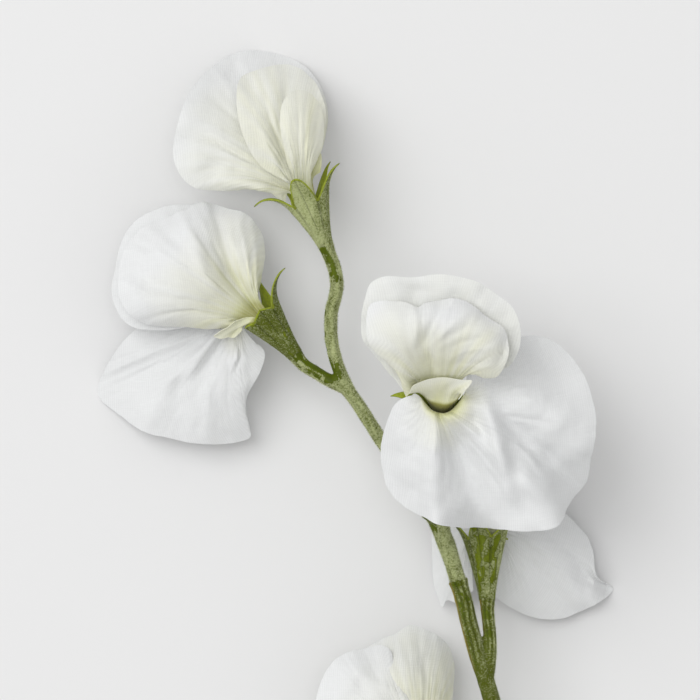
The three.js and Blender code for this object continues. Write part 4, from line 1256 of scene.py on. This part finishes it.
# The yellow-green and olive near the claws are partly the petals' own tint and partly painted shade,
# with the green of light bounced in the throat.
PETAL_GREEN = linear(221, 222, 180)
THROAT_OLIVE = linear(184, 182, 108)
GRAIN = 2100.0  # lumps of flock to a metre
GRAIN_DEPTH = 0.08
DARKER = 0.7  # shade of the darker blotches on bare plastic
FLOCKED_SAGE = linear(185, 192, 140)
LINING_GREEN = linear(148, 160, 50)
SEAM_BROWN = linear(150, 132, 62)
FIBRE_PALE = linear(228, 232, 190)
FIBRE_DARK = linear(88, 97, 32)
FLOOR_GREY = (0.76, 0.76, 0.76, 1)


def new_material(name):
    material = bpy.data.materials.new(name)
    material.use_nodes = True
    material.node_tree.nodes.clear()
    return material, material.node_tree


def finish_material(tree, kind, inputs):
    """Ends a material with one shader."""
    shader = wired(tree, kind, inputs)
    wired(tree, "ShaderNodeOutputMaterial", {0: shader[0]})


def thread_wave(tree, threads, place, wander, pitch):
    """Even threads across the fabric, made to wander a little."""
    wobble = noise(tree, stretched(tree, threads, wander), 1.0, 2.0)
    at = maths(tree, "ADD", place, maths(tree, "MULTIPLY", wobble, 0.5))
    return maths(tree, "SINE", maths(tree, "MULTIPLY", at, 2 * math.pi / pitch))


def woven(tree, threads):
    """The height of the weave, and the shade of its threads: their tone, and painted shade of its ribs.
    """
    place = wired(tree, "ShaderNodeSeparateXYZ", {0: threads})
    warp = thread_wave(tree, threads, place["X"], (0.9, 0.12, 1), RIB_PITCH)
    weft = thread_wave(tree, threads, place["Y"], (0.12, 0.9, 1), WEFT_PITCH)
    slubs = noise(tree, stretched(tree, threads, (2.6, 0.1, 1)), 1.0, 4.0, 0.6)
    bars = noise(tree, stretched(tree, threads, (0.12, 2.6, 1)), 1.0, 3.0, 0.6)
    thick = maths(tree, "ADD", slubs, bars)
    clear = ranged(tree, noise(tree, threads, 0.22), 0.35, 0.7, 0.3, 0.95)
    weave = maths(tree, "MULTIPLY_ADD", weft, 0.35, maths(tree, "MULTIPLY", warp, clear))
    weave = maths(tree, "ADD", weave, maths(tree, "MULTIPLY", thick, 1.6))
    # Painted shade of the warp and weft ribs, on the same waves as the bump.
    grain = maths(tree, "MULTIPLY_ADD", warp, 0.022, maths(tree, "MULTIPLY", weft, 0.009))
    return weave, maths(tree, "ADD", ranged(tree, thick, 0.7, 1.3, 0.955, 1.0), grain)


def dyed_and_shaded(tree, threads):
    """White, and through cream and yellow-green to olive where a petal is dyed and painted with shade.
    """
    mottle = ranged(tree, noise(tree, threads, 0.5, 4.0), 0.2, 0.8, 0.92, 1.08)
    dye_and_shade = maths(tree, "MULTIPLY", attribute(tree, "dye_and_shade"), mottle)
    pale = mixed(tree, ranged(tree, dye_and_shade, 0.0, 0.45), PETAL_WHITE, PETAL_CREAM)
    green = mixed(tree, ranged(tree, dye_and_shade, 0.4, 0.95), pale, PETAL_GREEN)
    return mixed(tree, ranged(tree, dye_and_shade, 0.95, 1.6), green, THROAT_OLIVE)


def make_petal_fabric():
    """Stiffened white fabric with a fine upright rib, dyed cream to yellow-green at the heart, with
    painted shade in the throat and painted shade of its ribs.
    """
    material, tree = new_material("petal_fabric")
    threads = wired(tree, "ShaderNodeUVMap", uv_map="threads")[0]
    weave, shade = woven(tree, threads)
    colour = scaled(tree, dyed_and_shaded(tree, threads), shade)
    bump = wired(
        tree, "ShaderNodeBump", {"Height": weave, "Strength": 0.32, "Distance": WEAVE_DEPTH * MM}
    )[0]
    cloth = wired(
        tree, "ShaderNodeBsdfPrincipled",
        {
            "Base Color": colour, "Roughness": 0.75, "Specular IOR Level": 0.3,
            "Sheen Weight": 0.15, "Sheen Roughness": 0.4, "Normal": bump,
        },
    )[0]
    glow = wired(tree, "ShaderNodeBsdfTranslucent", {"Color": colour, "Normal": bump})[0]
    finish_material(tree, "ShaderNodeMixShader", {0: THROUGH_SHARE, 1: cloth, 2: glow})
    return material


def plastic_colour(tree, fine, broad, bareness, thin, bare):
    """Pale flock, darker where it is thin, with bare plastic, bare edges, a moulding seam and painted
    shade in the grooves.
    """
    uneven = maths(tree, "ADD", attribute(tree, "worn"), ranged(tree, broad, 0.3, 0.7, -0.12, 0.12))
    uneven = maths(tree, "ADD", uneven, ranged(tree, fine, 0.36, 0.64, -0.28, 0.28))
    dusty = mixed(tree, ranged(tree, uneven, 0.0, 0.6), FLOCKED_SAGE, thin)
    bare_dark = tuple(DARKER * part for part in bare[:3]) + (1,)
    bare_colour = mixed(tree, ranged(tree, broad, 0.35, 0.65), bare, bare_dark)
    colour = mixed(tree, bareness, dusty, bare_colour)
    colour = mixed(tree, attribute(tree, "lining"), colour, LINING_GREEN)
    colour = mixed(tree, attribute(tree, "seam"), colour, SEAM_BROWN)
    # Painted shade in the grooves.
    grooves = ranged(tree, attribute(tree, "ribs"), -1.0, 0.3, 0.62, 1.0)
    grain = ranged(tree, fine, 0.3, 0.7, 0.72, 1.25)
    return scaled(tree, colour, maths(tree, "MULTIPLY", grooves, grain))


def make_moulded_plastic(name, thin, bare):
    """Soft green plastic: pale and dull under its flock, darker where that is thin, glossier bare, with
    painted shade in its grooves.
    """
    material, tree = new_material(name)
    places = wired(tree, "ShaderNodeTexCoord")["Object"]
    fine = noise(tree, places, GRAIN, 4.0, 0.75)
    broad = noise(tree, places, 260.0, 4.0)
    speckled = maths(tree, "ADD", attribute(tree, "worn"), ranged(tree, fine, 0.35, 0.65, -0.12, 0.12))
    bareness = ranged(tree, speckled, 0.66, 0.8)
    bump = wired(
        tree, "ShaderNodeBump", {"Height": fine, "Strength": 0.6, "Distance": GRAIN_DEPTH * MM}
    )[0]
    inputs = {
        "Base Color": plastic_colour(tree, fine, broad, bareness, thin, bare),
        "Roughness": ranged(tree, bareness, 0.0, 1.0, 0.9, 0.45), "Normal": bump,
        "Specular IOR Level": 0.14, "Sheen Weight": 0.06, "Sheen Roughness": 0.35,
        "Sheen Tint": FIBRE_PALE,
    }
    finish_material(tree, "ShaderNodeBsdfPrincipled", inputs)
    return material


def make_flock_fibre():
    """Pale sage fibre, a little uneven in shade."""
    material, tree = new_material("flock_fibre")
    places = wired(tree, "ShaderNodeTexCoord")["Object"]
    broad = noise(tree, places, 420.0, 4.0)
    shade = maths(tree, "MULTIPLY_ADD", broad, 0.3, noise(tree, places, GRAIN, 4.0, 0.75))
    colour = mixed(tree, ranged(tree, shade, 0.53, 0.77), FIBRE_PALE, FIBRE_DARK)
    inputs = {"Base Color": colour, "Roughness": 0.85, "Specular IOR Level": 0.2}
    finish_material(tree, "ShaderNodeBsdfPrincipled", inputs)
    return material


def make_floor_paint():
    material, tree = new_material("floor_paint")
    inputs = {"Base Color": FLOOR_GREY, "Roughness": 0.95, "Specular IOR Level": 0.1}
    finish_material(tree, "ShaderNodeBsdfPrincipled", inputs)
    return material


# Studio.

VIEW_CENTRE = (-1.25, 62.5, 0)
VIEW_WIDTH = 175  # what the picture takes in, across its middle
CAMERA_HEIGHT = 2500
SENSOR_WIDTH = 36
FLOOR_HALF = 6000
AIR_STRENGTH = 0.6
# Each softbox's name, place and width in metres, and power in watts.
SOFTBOXES = [
    ("key_softbox", (-1.15, 0.8, 1.95), 2.0, 27),
    ("front_softbox", (-0.1, 0.2, 2.4), 1.2, 9),
]


def make_camera():
    lens = bpy.data.cameras.new("camera")
    lens.sensor_width = SENSOR_WIDTH
    lens.lens = SENSOR_WIDTH * CAMERA_HEIGHT / VIEW_WIDTH
    lens.clip_end = 100
    camera = linked("camera", lens)
    camera.location = Vector(VIEW_CENTRE) * MM + Vector((0, 0, CAMERA_HEIGHT * MM))
    bpy.context.scene.camera = camera


def make_floor():
    corners = [(-1, -1), (1, -1), (1, 1), (-1, 1)]
    points = [(x * FLOOR_HALF, y * FLOOR_HALF, 0) for x, y in corners]
    floor = new_object("floor", points, [(0, 1, 2, 3)], make_floor_paint(), smooth=False)


def make_softbox(name, place, width, power):
    light = bpy.data.lights.new(name, "AREA")
    light.shape = "DISK"
    light.size = width
    light.energy = power
    made = linked(name, light)
    made.location = place
    aim = Vector(VIEW_CENTRE) * MM - Vector(place)
    made.rotation_euler = aim.to_track_quat("-Z", "Y").to_euler()
    made.visible_camera = False


def make_studio():
    make_camera()
    make_floor()
    for softbox in SOFTBOXES:
        make_softbox(*softbox)
    world = bpy.data.worlds.new("studio_air")
    world.use_nodes = True
    air = world.node_tree.nodes["Background"]
    air.inputs["Color"].default_value = (1, 1, 1, 1)
    air.inputs["Strength"].default_value = AIR_STRENGTH
    bpy.context.scene.world = world
    bpy.context.scene.view_settings.view_transform = "Standard"


# The spray.

# How a length of stem is finished. ridges: how many run along it, turned by turn, with their relief
# and the strength of the painted shade in their grooves. thin: how thin its flock is, with more to
# one side and in its grooves. seam: how plain its moulding seam is. rubs: places where the flock is
# rubbed off, and how far that reaches.
UPPER_FINISH = {
    "ridges": 5, "turn": 0.4, "relief": 0.03, "shade": 0.25, "seam": 0,
    "thin": 0.25, "thin_side": 0, "thin_grooves": 0.05,
    "rubs": [
        ((-8.3, 87.2, 23.2), 1.5), ((-6.6, 85, 23.6), 1.4), ((-5.6, 82.5, 23.6), 1.3),
        ((-4.9, 80.3, 23.5), 1.2), ((-7.4, 72, 22.6), 1.1), ((-7.7, 66.5, 22.6), 1.3),
        ((-7.5, 62.5, 22.6), 1.4), ((-6, 58.6, 24), 1.7), ((-4.8, 55.8, 24.2), 1.7),
        ((-13, 61.6, 21.5), 2.6), ((-9.8, 59, 22.3), 2.6), ((-7, 56.6, 23), 2.2),
        ((19.5, 18.5, 24), 2), ((18, 22, 24.5), 1.8),
    ],
}
LOWER_FINISH = {
    "ridges": 9, "turn": 1.2, "relief": 0.1, "shade": 0.9, "seam": 0.7,
    "thin": 0.6, "thin_side": 0.12, "thin_grooves": 0.16,
    "rubs": [
        ((25.2, 4.2, 23.6), 1.3), ((25.6, 2, 23.4), 0.8), ((26.3, -0.5, 23.4), 0.8),
        ((27, -3, 23), 0.8), ((28, 1, 23.2), 1), ((32.4, -3, 22.5), 1.6), ((33, -8, 22.5), 1.2),
    ],
}

petal_fabric = make_petal_fabric()
stem_plastic = make_moulded_plastic("stem_plastic", linear(82, 90, 24), linear(88, 102, 6))
calyx_plastic = make_moulded_plastic("calyx_plastic", linear(81, 90, 24), linear(106, 119, 12))
flock_fibre = make_flock_fibre()
sweep_tree = make_sweep_tree()
flock_tree = make_flock_tree()

make_studio()

for number, blossom in enumerate(BLOSSOMS):
    moulding = calyx_piece(blossom, 100 + number)
    name = f"calyx_{blossom['name']}_flock"
    flock_piece(moulding, name, CALYX_FLOCK, 200 + number)
    for order, kind in enumerate(blossom["petals"]):
        petal_piece(blossom, kind, 1000 + 100 * number + 10 * order)

upper_stem = {
    "route": [COLLAR_SEAT, *to_calyx(UPPER_STEM_ROUTE, "top")],
    "radii": (2.0, 1.85, 1.7, 1.62, 1.6, 1.62, 1.7),
    "swellings": [((22.4, 15, 22.5), 4, 0.3), ((-2.5, 54, 23), 3, 0.15), flare("top")],
}
lower_stem = {
    "route": LOWER_STEM_ROUTE,
    "radii": (2.3, 2.2, 2.1),
    "swellings": [(LOWER_STEM_ROUTE[-1], 1.0, COLLAR_RADIUS - LOWER_STEM_RADIUS)],
}
spur = {"route": SPUR_ROUTE, "radii": (1.5, 0.3)}
upper_lengths = [upper_stem, stalk("left"), stalk("front"), spur]
lower_lengths = [lower_stem, stalk("rear"), stalk("low")]
upper = stem_piece("stem_upper", upper_lengths, UPPER_FINISH, 31)
lower = stem_piece("stem_lower", lower_lengths, LOWER_FINISH, 47)
flock_piece(upper, "stem_upper_flock", UPPER_FLOCK, 301)
flock_piece(lower, "stem_lower_flock", LOWER_FLOCK, 302)
